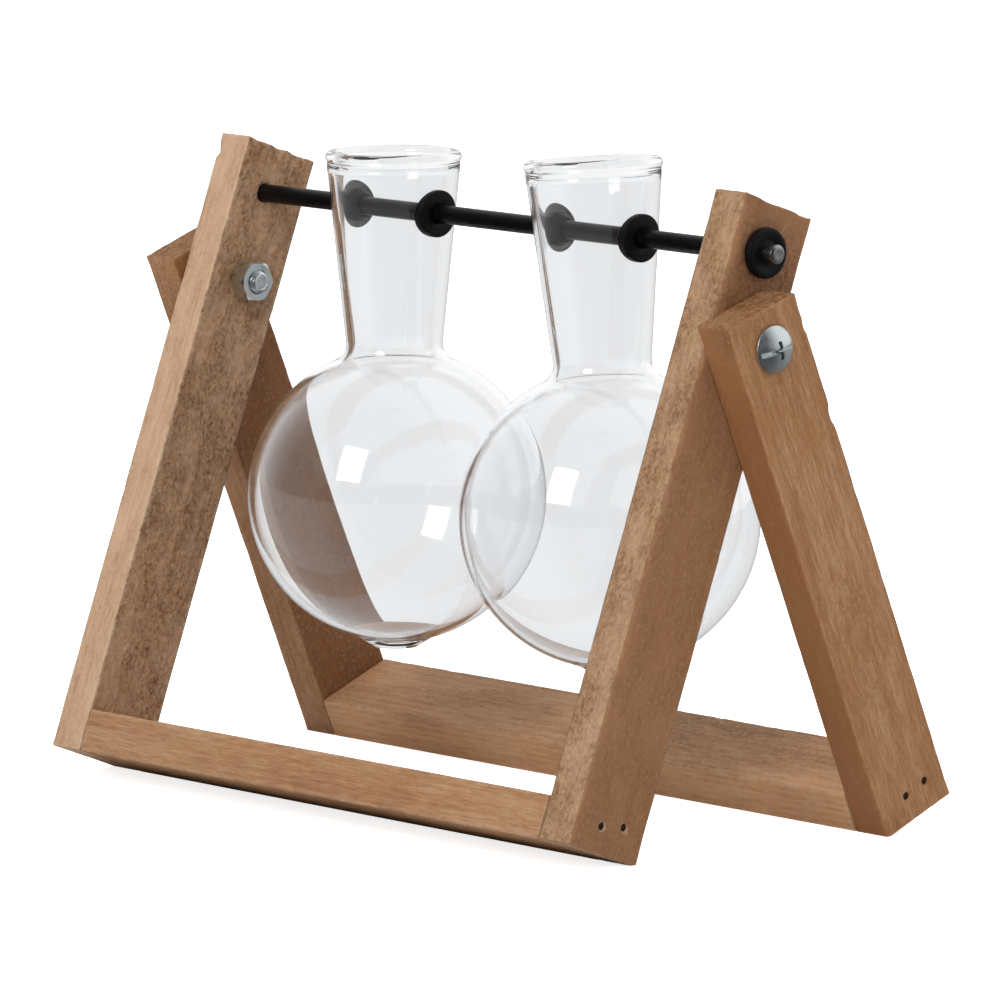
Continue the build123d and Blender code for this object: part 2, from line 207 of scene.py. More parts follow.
class StageSettings(bpy.types.PropertyGroup):
    floor: colour_setting("Floor", "#FAFAFA", "Pale floor")
    surround: colour_setting("Surround", "#FFFFFF", "Light that comes from all round")
    # The dark side dims the room's light; with the next colour it is also a painted shade on the
    # floor as reflections show it, darkening towards the camera
    dark_side: colour_setting("Dark side", "#3C3E41", "Dim room and floor by the camera")
    reflection_floor_shade: colour_setting("Mirrored floor", "#9C9D9F", "Floor as gloss mirrors it")
    floor_glow: glow_setting("Floor glow", 0.8, "Light table, seen straight")
    glass_glow: glow_setting("Glass glow", 0.92, "Light table, seen through glass")
    key_power: power_setting("Key power", 4.2, "Main softbox")
    wash_power: power_setting("Wash power", 9.6, "Broad front light")
    side_power: power_setting("Side power", 1.7, "Light from the right")
    top_power: power_setting("Top power", 3.0, "Light from above")


# Shape helpers


def add_outline(bm, points, closed=False):
    """Vertices joined in a row, or in a ring if closed, from (radius, height) pairs."""
    verts = [bm.verts.new((radius, 0.0, height)) for radius, height in points]
    for first, second in zip(verts, verts[1:]):
        bm.edges.new((first, second))
    if closed:
        bm.edges.new((verts[-1], verts[0]))


def draw_line(bm, start, end, steps=1):
    """Carries the outline from a vertex straight to a (radius, height) point."""
    origin, target = start.co.copy(), Vector((end[0], 0.0, end[1]))
    vert = start
    for step in range(1, steps + 1):
        vert = bmesh.ops.extrude_vert_indiv(bm, verts=[vert])["verts"][0]
        vert.co = origin.lerp(target, step / steps)
    return vert


def draw_lines(bm, start, rows):
    """Carries the outline from a vertex through (point, steps) rows."""
    for point, steps in rows:
        start = draw_line(bm, start, point, steps)
    return start


def draw_arc(bm, start, centre, end, steps):
    """Carries the outline from a vertex round a centre to the direction of an end point."""
    first = atan2(start.co.z - centre[1], start.co.x - centre[0])
    last = atan2(end[1] - centre[1], end[0] - centre[0])
    turn = (last - first + pi) % (2 * pi) - pi
    swept = bmesh.ops.spin(
        bm,
        geom=[start],
        cent=(centre[0], 0.0, centre[1]),
        axis=(0.0, -1.0, 0.0),
        angle=turn,
        steps=steps,
    )
    return next(item for item in swept["geom_last"] if isinstance(item, bmesh.types.BMVert))


def turn_round(bm, steps):
    """Spins an outline round the Z axis into a closed shape with its faces outwards."""
    bmesh.ops.spin(
        bm,
        geom=bm.verts[:] + bm.edges[:],
        cent=(0.0, 0.0, 0.0),
        axis=(0.0, 0.0, 1.0),
        angle=2 * pi,
        steps=steps,
        use_merge=True,
    )
    bmesh.ops.remove_doubles(bm, verts=bm.verts, dist=0.0005 * MM)
    bmesh.ops.recalc_face_normals(bm, faces=bm.faces)


def soften(bm, width, segments=3, sharper_than=30.0, where=None):
    """Rounds the edges that are sharper than an angle, and that a test picks."""
    edges = [
        edge
        for edge in bm.edges
        if len(edge.link_faces) == 2
        and edge.calc_face_angle() > radians(sharper_than)
        and (where is None or where((edge.verts[0].co + edge.verts[1].co) / 2))
    ]
    bmesh.ops.bevel(
        bm,
        geom=edges,
        offset=width,
        segments=segments,
        profile=0.5,
        affect="EDGES",
        material=-1,
        clamp_overlap=True,
    )


def new_piece(bm, name):
    """A linked object at the origin that holds the finished shape."""
    mesh = bpy.data.meshes.new(name)
    bm.to_mesh(mesh)
    bm.free()
    piece = bpy.data.objects.new(name, mesh)
    bpy.context.scene.collection.objects.link(piece)
    return piece


def carve(piece, tool, operation="DIFFERENCE"):
    """Cuts one piece with another, which is used up."""
    modifier = piece.modifiers.new("carve", "BOOLEAN")
    modifier.operation = operation
    modifier.solver = "EXACT"
    modifier.object = tool
    graph = bpy.context.evaluated_depsgraph_get()
    carved = bpy.data.meshes.new_from_object(
        piece.evaluated_get(graph), preserve_all_data_layers=True, depsgraph=graph
    )
    if len(carved.polygons) < 8:
        raise RuntimeError(f"nothing is left of {piece.name} after its cut")
    piece.modifiers.clear()
    piece.data = carved
    bpy.data.objects.remove(tool)


def drill_bits(name, holes):
    """Round bars for cutting holes, from (centre, direction, radius, length) rows."""
    bm = bmesh.new()
    for centre, direction, radius, length in holes:
        turn = Vector(direction).to_track_quat("Z", "Y").to_matrix().to_4x4()
        bmesh.ops.create_cone(
            bm,
            cap_ends=True,
            segments=48,
            radius1=radius,
            radius2=radius,
            depth=length,
            matrix=Matrix.Translation(centre) @ turn,
        )
    return new_piece(bm, name)


def finish_piece(piece, node, body, materials, crease=38.0):
    """Shades a piece, gives it its materials, hides the node it stands for and puts it in its body.
    """
    bm = bmesh.new()
    bm.from_mesh(piece.data)
    for face in bm.faces:
        face.smooth = True
    for edge in bm.edges:
        edge.smooth = len(edge.link_faces) != 2 or edge.calc_face_angle() < radians(crease)
    bm.to_mesh(piece.data)
    bm.free()
    for material in materials:
        piece.data.materials.append(material)
    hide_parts(node)
    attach(piece, body)


# Material helpers


def new_material(name):
    """A material with its node tree and its Principled shader."""
    material = bpy.data.materials.new(name)
    material.use_nodes = True
    tree = material.node_tree
    return material, tree, tree.nodes["Principled BSDF"]


def set_inputs(tree, node, inputs):
    """Links or sets the inputs of a node that are given."""
    for key, value in dict(inputs).items():
        if isinstance(value, bpy.types.NodeSocket):
            tree.links.new(value, node.inputs[key])
        else:
            node.inputs[key].default_value = value


def add_node(tree, kind, inputs=(), **settings):
    """Adds a node with its settings and its inputs."""
    node = tree.nodes.new(kind)
    for key, value in settings.items():
        setattr(node, key, value)
    set_inputs(tree, node, inputs)
    return node


def uneven_skin(tree, place, scale, detail, roughness, depth, strength):
    """A surface's noise, and the normal of a relief that goes by it, its depth in mm."""
    lumps = add_node(
        tree,
        "ShaderNodeTexNoise",
        {"Vector": place, "Scale": scale, "Detail": detail, "Roughness": roughness},
    ).outputs["Fac"]
    normal = add_node(
        tree, "ShaderNodeBump", {"Height": lumps, "Distance": depth * MM, "Strength": strength}
    ).outputs["Normal"]
    return lumps, normal


# Noises of the fir: lump size in mm across and along the grain, detail, roughness, shift
FIR_NOISES = {
    "fibres": (0.42, 6.0, 4.0, 0.65, 0.0),
    "streaks": (1.4, 22.0, 3.0, 0.55, 11.0),
    "bands": (5.0, 120.0, 2.0, 0.5, 23.0),
    "stain": (18.0, 36.0, 2.0, 0.5, 31.0),
    "speckle": (1.05, 1.4, 5.0, 0.75, 43.0),
    "tears": (2.0, 3.6, 5.0, 0.72, 57.0),
    "pores": (0.35, 3.0, 1.0, 0.4, 71.0),
    "patches": (7.0, 15.0, 2.0, 0.5, 83.0),
}
# What a strip's own vertices say of it
FIR_MARKS = ("rough_sawn", "soaked", "wear", "end_grain")


def stained_fir(name, placing, stand, tone, seed, rings, rubbed):
    """Fir strip, sawn rough and wiped with brown oil: soft fibres run along it, the torn
    saw surface is speckled and fuzzy, with painted shade in its pits and painted highlights
    on its lumps, and its handled edges are paler, worn and with a painted highlight. Faces
    turned from the light are darkened as painted shade. Rings are the year rings' spacing in
    millimetres and how dark they are; the last argument is how pale the edges are."""
    material, tree, shader = new_material(name)
    to_strip = placing.inverted()
    place = add_node(tree, "ShaderNodeTexCoord").outputs["Object"]
    # No two strips show the same stretch of the patterns
    own_stretch = Vector((seed * 37.0, seed * 91.0, seed * 53.0))
    strip = add_node(
        tree,
        "ShaderNodeMapping",
        {
            "Vector": place,
            "Location": to_strip.to_translation() / MM + own_stretch,
            "Rotation": to_strip.to_euler(),
            "Scale": (1 / MM,) * 3,
        },
    ).outputs["Vector"]

    field = {
        mark: add_node(tree, "ShaderNodeAttribute", attribute_name=mark).outputs["Fac"]
        for mark in FIR_MARKS
    }
    for pattern, (across, along, detail, roughness, shift) in FIR_NOISES.items():
        scaled = add_node(
            tree,
            "ShaderNodeMapping",
            {
                "Vector": strip,
                "Scale": (1 / across, 1 / along, 1 / across),
                "Location": (shift, shift, shift),
            },
        ).outputs["Vector"]
        field[pattern] = add_node(
            tree,
            "ShaderNodeTexNoise",
            {"Vector": scaled, "Scale": 1.0, "Detail": detail, "Roughness": roughness},
        ).outputs["Fac"]
    # Only the peaks of their noise are pores, and the saw tore some patches less
    for pattern, low, high, least in (("pores", 0.62, 0.78, 0.0), ("patches", 0.36, 0.6, 0.45)):
        field[pattern] = add_node(
            tree, "ShaderNodeMapRange", {"Value": field[pattern], 1: low, 2: high, 3: least}
        ).outputs["Result"]
    field["rough_sawn"] = add_node(
        tree,
        "ShaderNodeMath",
        {0: field["rough_sawn"], 1: field["patches"]},
        operation="MULTIPLY",
    ).outputs[0]

    # Year rings round a heart beside and behind the strip, drawn out along the grain
    spacing, ring_share = rings
    centred = add_node(
        tree,
        "ShaderNodeMapping",
        {"Vector": strip, "Location": (43.0 + seed, 0.0, 61.0), "Scale": (1.0, 0.012, 1.0)},
    ).outputs["Vector"]
    # At a scale of 1 the wave repeats every 0.314 of a unit, which is a millimetre here
    field["rings"] = add_node(
        tree,
        "ShaderNodeTexWave",
        {
            "Vector": centred,
            "Scale": 0.314 / spacing,
            "Distortion": 1.6,
            "Detail": 1.0,
            "Detail Scale": 0.6,
        },
        wave_type="RINGS",
        rings_direction="Y",
    ).outputs["Fac"]

    shade = 0.0
    for pattern, weight in (("fibres", 0.42), ("streaks", 0.2), ("bands", 0.18), ("stain", 0.2)):
        shade = add_node(
            tree,
            "ShaderNodeMath",
            {0: field[pattern], 1: weight, 2: shade},
            operation="MULTIPLY_ADD",
        ).outputs[0]
    field["shade"] = shade

    # Layers over the tone: the pattern, where in it the layer begins and is full, its full
    # share, its colour, and the mark that it keeps to
    layers = (
        ("shade", 0.5, 0.36, 0.55, stand.dark_fibre_and_pit_shade, None),
        ("shade", 0.5, 0.66, 0.45, stand.pale_fibre_and_highlight, None),
        ("rings", 0.0, 1.0, ring_share, stand.dark_fibre_and_pit_shade, None),
        ("pores", 0.0, 1.0, 0.14, stand.dark_fibre_and_pit_shade, None),
        ("rough_sawn", 0.0, 1.0, 0.5, stand.torn_fibre, None),
        # Painted shade: the faces turned from the light are darkened
        ("soaked", 0.0, 1.0, 0.9, stand.painted_shade_colour, None),
        # Dark pits and pale lumps of rough faces: the torn fibres' colour, with painted shade in
        # the pits and painted highlights on the lumps
        ("speckle", 0.51, 0.37, 0.72, stand.dark_fibre_and_pit_shade, "rough_sawn"),
        ("speckle", 0.53, 0.64, 0.46, stand.pale_fibre_and_highlight, "rough_sawn"),
        ("tears", 0.52, 0.34, 0.4, stand.dark_fibre_and_pit_shade, "rough_sawn"),
        # Pale broken line along the arrises: worn fibres and a painted highlight
        ("tears", 0.4, 0.6, rubbed, stand.pale_fibre_and_highlight, "wear"),
        ("end_grain", 0.0, 1.0, 0.1, stand.dark_fibre_and_pit_shade, None),
    )
    base = tone
    for pattern, begins, full, share, colour, mark in layers:
        amount = add_node(
            tree, "ShaderNodeMapRange", {"Value": field[pattern], 1: begins, 2: full, 4: share}
        ).outputs["Result"]
        if mark:
            amount = add_node(
                tree, "ShaderNodeMath", {0: amount, 1: field[mark]}, operation="MULTIPLY"
            ).outputs[0]
        base = add_node(
            tree, "ShaderNodeMix", {"Factor": amount, 6: base, 7: colour}, data_type="RGBA"
        ).outputs[2]

    relief = 0.0
    for pattern, weight, mark in (
        ("fibres", 0.5, None),
        ("streaks", 0.4, None),
        ("pores", -0.25, None),
        ("speckle", 12.0, "rough_sawn"),
        ("tears", 9.0, "rough_sawn"),
    ):
        height = field[pattern]
        if mark:
            height = add_node(
                tree, "ShaderNodeMath", {0: height, 1: field[mark]}, operation="MULTIPLY"
            ).outputs[0]
        relief = add_node(
            tree, "ShaderNodeMath", {0: height, 1: weight, 2: relief}, operation="MULTIPLY_ADD"
        ).outputs[0]
    bump = add_node(
        tree, "ShaderNodeBump", {"Height": relief, "Distance": 0.2 * MM, "Strength": 0.8}
    ).outputs["Normal"]
    # Raised fibres are a little glossier than the hollows between them
    dulling = add_node(
        tree, "ShaderNodeMapRange", {"Value": field["fibres"], 1: 0.3, 2: 0.7, 3: 0.78, 4: 0.64}
    ).outputs["Result"]
    set_inputs(
        tree,
        shader,
        {"Base Color": base, "Roughness": dulling, "Normal": bump, "Specular IOR Level": 0.28},
    )
    return material


def blown_glass(vase):
    """Clear soda glass, blown in a mould and fire polished: colourless with dark, bright
    rimmed edges, and slow ripples that bend what is seen through it."""
    material, tree, shader = new_material("soda_glass_blown")
    place = add_node(tree, "ShaderNodeTexCoord").outputs["Object"]
    # Ripples of 14 mm, from the mould and the gather
    _, rippled = uneven_skin(
        tree, place, scale=1 / (14 * MM), detail=1.0, roughness=0.4, depth=0.012, strength=0.5
    )
    set_inputs(
        tree,
        shader,
        {
            "Base Color": vase.glass_tint,
            "Normal": rippled,
            "Roughness": 0.0,
            "IOR": 1.48,
            "Transmission Weight": 1.0,
        },
    )
    return material


def moulded_rubber(name, colour, roughness=0.55):
    """Black rubber, compression moulded: a dull skin with a faint grain that keeps a
    soft broad sheen."""
    material, tree, shader = new_material(name)
    place = add_node(tree, "ShaderNodeTexCoord").outputs["Object"]
    # Skin grain of 0.35 mm
    grain, bump = uneven_skin(
        tree, place, scale=1 / (0.35 * MM), detail=2.0, roughness=0.5, depth=0.02, strength=0.6
    )
    sheen = add_node(
        tree, "ShaderNodeMapRange", {"Value": grain, 3: roughness - 0.08, 4: roughness + 0.08}
    ).outputs["Result"]
    set_inputs(
        tree,
        shader,
        {"Base Color": colour, "Roughness": sheen, "Normal": bump, "Specular IOR Level": 0.2},
    )
    return material


def worked_steel(name, colour, roughness, streak, relief=0.02, metallic=1.0):
    """Steel with a grain of fine scratches from how it was worked: drawn, turned or
    tumbled before plating, so its highlight is broken and soft edged."""
    material, tree, shader = new_material(name)
    place = add_node(tree, "ShaderNodeTexCoord").outputs["Object"]
    scaled = add_node(
        tree,
        "ShaderNodeMapping",
        {"Vector": place, "Scale": tuple(1 / (size * MM) for size in streak)},
    ).outputs["Vector"]
    scratches, bump = uneven_skin(
        tree, scaled, scale=1.0, detail=3.0, roughness=0.6, depth=relief, strength=0.5
    )
    dulling = add_node(
        tree,
        "ShaderNodeMapRange",
        {"Value": scratches, 1: 0.3, 2: 0.7, 3: roughness * 0.7, 4: roughness * 1.4},
    ).outputs["Result"]
    tone = add_node(
        tree,
        "ShaderNodeMapRange",
        {"Value": scratches, 1: 0.3, 2: 0.7, 3: 0.86, 4: 1.0},
    ).outputs["Result"]
    tinted = add_node(
        tree,
        "ShaderNodeMix",
        {"Factor": 1.0, 6: colour, 7: tone},
        data_type="RGBA",
        blend_type="MULTIPLY",
    ).outputs[2]
    set_inputs(
        tree,
        shader,
        {"Base Color": tinted, "Roughness": dulling, "Normal": bump, "Metallic": metallic},
    )
    if not metallic:
        shader.inputs["Specular IOR Level"].default_value = 0.16
    return material


# Timber

# Grid lines of a strip, in millimetres: their places by an arris, and the distance between
# the others across, along and through the strip
EDGE_LINES = (0.0, 0.15, 0.4, 0.75, 1.2, 1.8, 2.6)
GRID_PITCH = (1.1, 1.5, 1.1)

# How the saw, the knife and use left each leg, and where shade is painted on it, in the
# leg's own millimetres: rough faces, and faces darkened as painted shade, as (axis, side,
# amount), rough patches as (centre, radii, amount), chips as (centre, radii, depth), the arris that
# is worn most, and how pale the edges are, worn and with a painted highlight
LEG_SURFACES = {
    "front_left": {
        "rough": ((2, 1, 1.0), (0, 0, 0.28), (1, 1, 1.0)),
        "chips": (
            ((0, 170, 0), (1.2, 1.1, 1.6), 1.1),
            ((5, 175, 12), (2.6, 1.5, 1.8), 0.7),
            ((12, 175, 12), (2.2, 1.6, 1.8), 0.9),
            ((19, 175, 12), (3.0, 1.6, 1.8), 0.8),
        ),
        "soaked": ((2, 1, 0.15),),
        "rubbed": 1.0,
    },
    "front_right": {
        "rough": ((0, 0, 0.85), (2, 1, 0.32), (1, 1, 0.6)),
        "patches": (((15, 150, 12), (13, 20, 4), 0.7), ((20, 110, 12), (7, 30, 4), 0.4)),
        "chips": (((10, 175, 12), (4, 1.6, 1.8), 0.6), ((22, 175, 12), (2, 1.6, 1.8), 0.7)),
        "soaked": ((2, 1, 0.85),),
        "worn_arris": (False, True),
        "rubbed": 0.15,
    },
    "back_left": {
        "rough": ((2, 0, 0.5), (2, 1, 0.3), (0, 1, 0.4), (1, 1, 0.8)),
        "patches": (((25, 140, 6), (8, 16, 12), 0.5),),
        "soaked": ((2, 0, 0.9),),
        "rubbed": 0.12,
    },
    "back_right": {
        "rough": ((2, 0, 0.2), (0, 1, 0.1), (1, 1, 1.0)),
        "patches": (((20, 148, 0), (12, 6, 6), 0.5), ((14, 55, 0), (9, 34, 4), 0.35)),
        "chips": (((0, 113, 0), (1.5, 3.0, 1.5), 0.6), ((0, 139, 0), (1.5, 1.5, 1.5), 0.3)),
        "soaked": ((0, 1, 0.88),),
        "rubbed": 0.12,
    },
}
LEG_RINGS, RAIL_RINGS = (2.4, 0.05), (1.6, 0.1)
RAIL_SURFACES = {
    "front": {"rough": ((0, 0, 0.15), (2, 1, 0.1)), "rubbed": 0.35},
    "back": {
        "rough": ((2, 1, 0.25), (0, 1, 0.12)),
        "patches": (((10, 150, 12), (16, 55, 5), 0.5), ((12, 60, 12), (8, 40, 4), 0.35)),
        "rubbed": 0.35,
    },
}


def smooth(value):
    """Eases a value from 0 to 1, and holds it there beyond."""
    value = min(max(value, 0.0), 1.0)
    return value * value * (3 - 2 * value)


def line_place(share, size, cells):
    """Place of a grid line, in millimetres, with the lines crowded by the arrises."""
    index = round(share * cells)
    rows = len(EDGE_LINES) - 1
    if index <= rows:
        return EDGE_LINES[index]
    if index >= cells - rows:
        return size - EDGE_LINES[cells - index]
    return EDGE_LINES[-1] + (size - 2 * EDGE_LINES[-1]) * (index - rows) / (cells - 2 * rows)


def strip_placing(origin, across, along):
    """Frame of a strip: X across its width, Y along its grain, Z through its thickness."""
    through = across.cross(along)
    placing = Matrix((across, along, through)).transposed().to_4x4()
    placing.translation = origin
    return placing


def gridded_block(size):
    """A block from the origin to its size in millimetres, with grid lines on its faces."""
    lines = 2 * (len(EDGE_LINES) - 1)
    cells = []
    for length, pitch in zip(size, GRID_PITCH):
        cells.append(lines + max(2, round((length - 2 * EDGE_LINES[-1]) / pitch)))
    bm = bmesh.new()
    bmesh.ops.create_cube(bm, size=1.0, matrix=Matrix.Translation((0.5, 0.5, 0.5)))
    for axis in range(3):
        edges = [e for e in bm.edges if abs(e.verts[1].co[axis] - e.verts[0].co[axis]) > 0.5]
        bmesh.ops.subdivide_edges(bm, edges=edges, cuts=cells[axis] - 1, use_grid_fill=True)
    for vert in bm.verts:
        vert.co = Vector(line_place(vert.co[i], size[i], cells[i]) for i in range(3))
    return bm


def face_amount(rows, spot, size):
    """Amount that (axis, side, amount) rows give to a place on the block."""
    reached = (amount for axis, side, amount in rows if abs(spot[axis] - side * size[axis]) < 0.01)
    return max(reached, default=0.0)


def share_of_way(spot, centre, radii):
    """Distance of a place from a centre, as a share of the radii."""
    return Vector((spot[i] - centre[i]) / radii[i] for i in range(3)).length


def round_arrises(bm, stand, size, shift, surface, marks):
    """Rounds the block's arrises unevenly, and marks where it is rough, how near each arris is for
    its wear and painted highlight, the end grain, and the faces that get painted shade.
    """
    half = size / 2
    end_radius = stand.end_round / MM
    for vert in bm.verts:
        spot = vert.co.copy()
        inset = [min(spot[i], size[i] - spot[i]) for i in range(3)]
        from_arris = sorted(inset)[1]
        arris = (spot.x > half.x, spot.z > half.z)
        worn = arris == surface.get("worn_arris")
        radius = (stand.worn_arris_round if worn else stand.arris_round) / MM
        drift = noise.noise(Vector((arris[0] * 9.0, spot.y / 9.0, arris[1] * 9.0)) + shift)
        radius *= 1.0 + 0.3 * drift
        # The rounding passes over into that of the end within 3 mm
        radius = end_radius + (radius - end_radius) * smooth((inset[1] - 0.2) / 3.0)
        rough = face_amount(surface["rough"], spot, size)
        for centre, radii, amount in surface.get("patches", ()):
            reach = share_of_way(spot, centre, radii)
            reach += 0.35 * noise.noise(spot / 4.0 + shift)
            rough = max(rough, amount * smooth(1.5 - reach))
        away = spot - half
        held = Vector(max(-(half[i] - radius), min(half[i] - radius, away[i])) for i in range(3))
        out = away - held
        vert.co = half + held + out.normalized() * radius
        # Nearness to an arris, for its nicks, its wear and its painted highlight
        vert[marks["wear"]] = 1.0 - smooth(from_arris / 1.3)
        vert[marks["end_grain"]] = 1.0 if inset[1] < 0.3 else 0.0
        vert[marks["rough_sawn"]] = rough
        # Painted shade on the faces turned from the light
        vert[marks["soaked"]] = face_amount(surface.get("soaked", ()), spot, size)


def sink_surface(bm, stand, shift, surface, marks):
    """Sinks the surface as the saw, nicks and chips did. The lumps of its noises are in
    millimetres across, along and through the strip, and so are the depths."""
    bm.normal_update()
    fuzz_height = stand.fuzz_height / MM
    sunk = {}
    for vert in bm.verts:
        spot = vert.co + shift
        broad = 0.5 + 0.5 * noise.noise(spot / 19.0)
        ridges = 0.5 + 0.5 * noise.noise(Vector((spot.x / 2.2, spot.y / 16.0, spot.z / 2.2)))
        fuzz = 0.5 + 0.5 * noise.noise(Vector((spot.x / 1.5, spot.y / 2.6, spot.z / 1.5)))
        nick = noise.noise(Vector((spot.x / 9.0, spot.y / 6.5, spot.z / 9.0)))
        depth = 0.07 * broad + 0.05 * ridges
        depth += fuzz_height * fuzz * (vert[marks["rough_sawn"]] + 0.5 * vert[marks["end_grain"]])
        depth += 0.55 * max(0.0, nick - 0.3) * vert[marks["wear"]] ** 2
        for centre, radii, chip_depth in surface.get("chips", ()):
            depth += chip_depth * smooth(1.6 - 1.3 * share_of_way(vert.co, centre, radii))
        sunk[vert] = vert.co - vert.normal * depth
    for vert, spot in sunk.items():
        vert.co = spot


def slant_end(bm, size, slant):
    """Slants the sawn end over the last 9 mm of the strip."""
    for vert in bm.verts:
        rise = smooth((vert.co.y - size.y + 9.0) / 9.0)
        vert.co.y += tan(slant) * (vert.co.x - size.x / 2) * rise


def sawn_strip(stand, length, placing, seed, surface, slant=0.0):
    """One strip of timber, rubbed flat where it meets the floor."""
    size = Vector((stand.strip_width, length, stand.strip_thickness)) / MM
    bm = gridded_block(size)
    marks = {mark: bm.verts.layers.float.new(mark) for mark in FIR_MARKS}
    shift = Vector((seed * 17.3, seed * 5.1, seed * 29.7))
    round_arrises(bm, stand, size, shift, surface, marks)
    sink_surface(bm, stand, shift, surface, marks)
    slant_end(bm, size, slant)
    bm.transform(placing @ Matrix.Scale(MM, 4))
    bmesh.ops.bisect_plane(
        bm,
        geom=bm.verts[:] + bm.edges[:] + bm.faces[:],
        dist=0.0001 * MM,
        plane_co=(0.0, 0.0, 0.0),
        plane_no=(0.0, 0.0, 1.0),
        clear_inner=True,
    )
    rims = [edge for edge in bm.edges if edge.is_boundary]
    bmesh.ops.holes_fill(bm, edges=rims, sides=0)
    bmesh.ops.recalc_face_normals(bm, faces=bm.faces)
    return bm


def front_leg_axes(stand):
    """Directions across and up the front legs."""
    lean = stand.front_lean
    return Vector((0.0, cos(lean), -sin(lean))), Vector((0.0, sin(lean), cos(lean)))


def back_leg_axes(stand):
    """Directions across and up the back legs."""
    lean = stand.back_lean
    return Vector((0.0, -cos(lean), -sin(lean))), Vector((0.0, -sin(lean), cos(lean)))


def front_foot(stand):
    """Front lower corner of the front legs, on the plane X = 0."""
    across, up = front_leg_axes(stand)
    return Vector((0.0, *pivot_place.yz)) - up * stand.pivot_up_leg - across * stand.strip_width / 2


def back_foot(stand):
    """Back lower corner of the back legs, on the plane X = 0, and how far up the pivot is."""
    across, up = back_leg_axes(stand)
    height = stand.strip_width * sin(stand.back_lean) - stand.foot_flat
    reach = pivot_place.z - height + stand.strip_width / 2 * sin(stand.back_lean)
    reach /= cos(stand.back_lean)
    middle = Vector((0.0, *pivot_place.yz)) - up * reach - across * stand.strip_width / 2
    return middle, reach


def brad_places(stand):
    """Where the brads go in, as (node, body, place, side) rows."""
    # Shares of the strip's width across the leg, and of its thickness up the leg
    rows = (
        ("front", front_foot(stand), front_leg_axes(stand), ((0.376, 0.61), (0.684, 0.74))),
        ("back", back_foot(stand)[0], back_leg_axes(stand), ((0.288, 0.667), (0.584, 0.625))),
    )
    places = []
    for row, foot, (across, up), shares in rows:
        for name, side in SIDES.items():
            low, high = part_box(f"{row}_leg_{name}")
            face = high.x if side > 0 else low.x
            for number, (share_across, share_up) in enumerate(shares, start=1):
                spot = foot + across * stand.strip_width * share_across
                spot += up * stand.strip_thickness * share_up
                spot.x = face
                places.append((f"{row}_brad_{name}_{number}", f"{row}_frame", spot, side))
    return places


BORE_PLAY = 0.1 * MM


def make_strip(stand, row, node, length, placing, seeds, surface, tone, rings, slant=0.0, holes=()):
    """Saws, bores and stains the strip for a node, from the seeds of its shape and grain."""
    seed, grain_seed = seeds
    strip = new_piece(sawn_strip(stand, length, placing, seed, surface, slant), f"timber_{node}")
    if holes:
        carve(strip, drill_bits("bits", holes))
    # How pale the edges are: worn, and a painted highlight
    rubbed = surface["rubbed"]
    fir = stained_fir(f"fir_oiled_{node}", placing, stand, tone, grain_seed, rings, rubbed)
    finish_piece(strip, node, f"{row}_frame", [fir])


class PROPAGATION_OT_legs(bpy.types.Operator):
    """Saw the four legs, and bore them for the rod, the screws and the brads"""

    bl_idname = "propagation.legs"
    bl_label = "Legs"

    def execute(self, context):
        stand, metal = context.scene.propagation_stand, context.scene.propagation_metal
        rod_hole, screw_hole = (rod_place, metal.rod), (pivot_place, metal.screw)
        back_corner, reach = back_foot(stand)
        back_length = reach + stand.back_leg_above_pivot
        # Row, corner of the foot, axes, length, bores, seed, and the grain's share of it
        rows = (
            (
                "front",
                front_foot(stand),
                front_leg_axes(stand),
                stand.front_leg_length,
                (rod_hole, screw_hole),
                3,
                0.37,
            ),
            ("back", back_corner, back_leg_axes(stand), back_length, (screw_hole,), 8, 0.41),
        )
        for name, side in SIDES.items():
            for row, corner, axes, length, bores, seed, grain_share in rows:
                seed += side
                node = f"{row}_leg_{name}"
                low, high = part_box(node)
                # A strip's thickness runs to +X in the front legs, and to -X in the back ones
                origin = corner.copy()
                origin.x = high.x if row == "back" else low.x
                middle = (low.x + high.x) / 2
                holes = [
                    ((middle, *place.yz), (1, 0, 0), bore / 2 + BORE_PLAY, 20 * MM)
                    for place, bore in bores
                ]
                for brad, _, spot, _ in brad_places(stand):
                    if brad.startswith(f"{row}_brad_{name}"):
                        holes.append((spot, (1, 0, 0), metal.brad_head / 2, 2.2 * MM))
                make_strip(
                    stand,
                    row,
                    node,
                    length,
                    strip_placing(origin, *axes),
                    (seed, seed * grain_share),
                    LEG_SURFACES[f"{row}_{name}"],
                    getattr(stand, f"{name}_{row}_tone"),
                    LEG_RINGS,
                    getattr(stand, f"{name}_saw_slant") if row == "back" else 0.0,
                    holes,
                )
        return {"FINISHED"}


class PROPAGATION_OT_rails(bpy.types.Operator):
    """Saw the two rails that tie the feet together"""

    bl_idname = "propagation.rails"
    bl_label = "Rails"

    def execute(self, context):
        stand = context.scene.propagation_stand
        # Row, corner of the foot, direction across, way along X
        rows = (
            ("front", front_foot(stand), front_leg_axes(stand)[0], -1),
            ("back", back_foot(stand)[0], back_leg_axes(stand)[0], 1),
        )
        for row, origin, across, way in rows:
            low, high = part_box(f"{row}_rail")
            origin.x = low.x if way > 0 else high.x
            seed = 13 + way
            make_strip(
                stand,
                row,
                f"{row}_rail",
                high.x - low.x,
                strip_placing(origin, across, Vector((way, 0.0, 0.0))),
                (seed, seed * 0.29),
                RAIL_SURFACES[row],
                getattr(stand, f"{row}_rail_tone"),
                RAIL_RINGS,
            )
        return {"FINISHED"}


# Metal


def facing(place, side):
    """Frame with its Z axis along X, towards the given side."""
    return Matrix.Translation(place) @ Matrix.Rotation(side * pi / 2, 4, "Y")


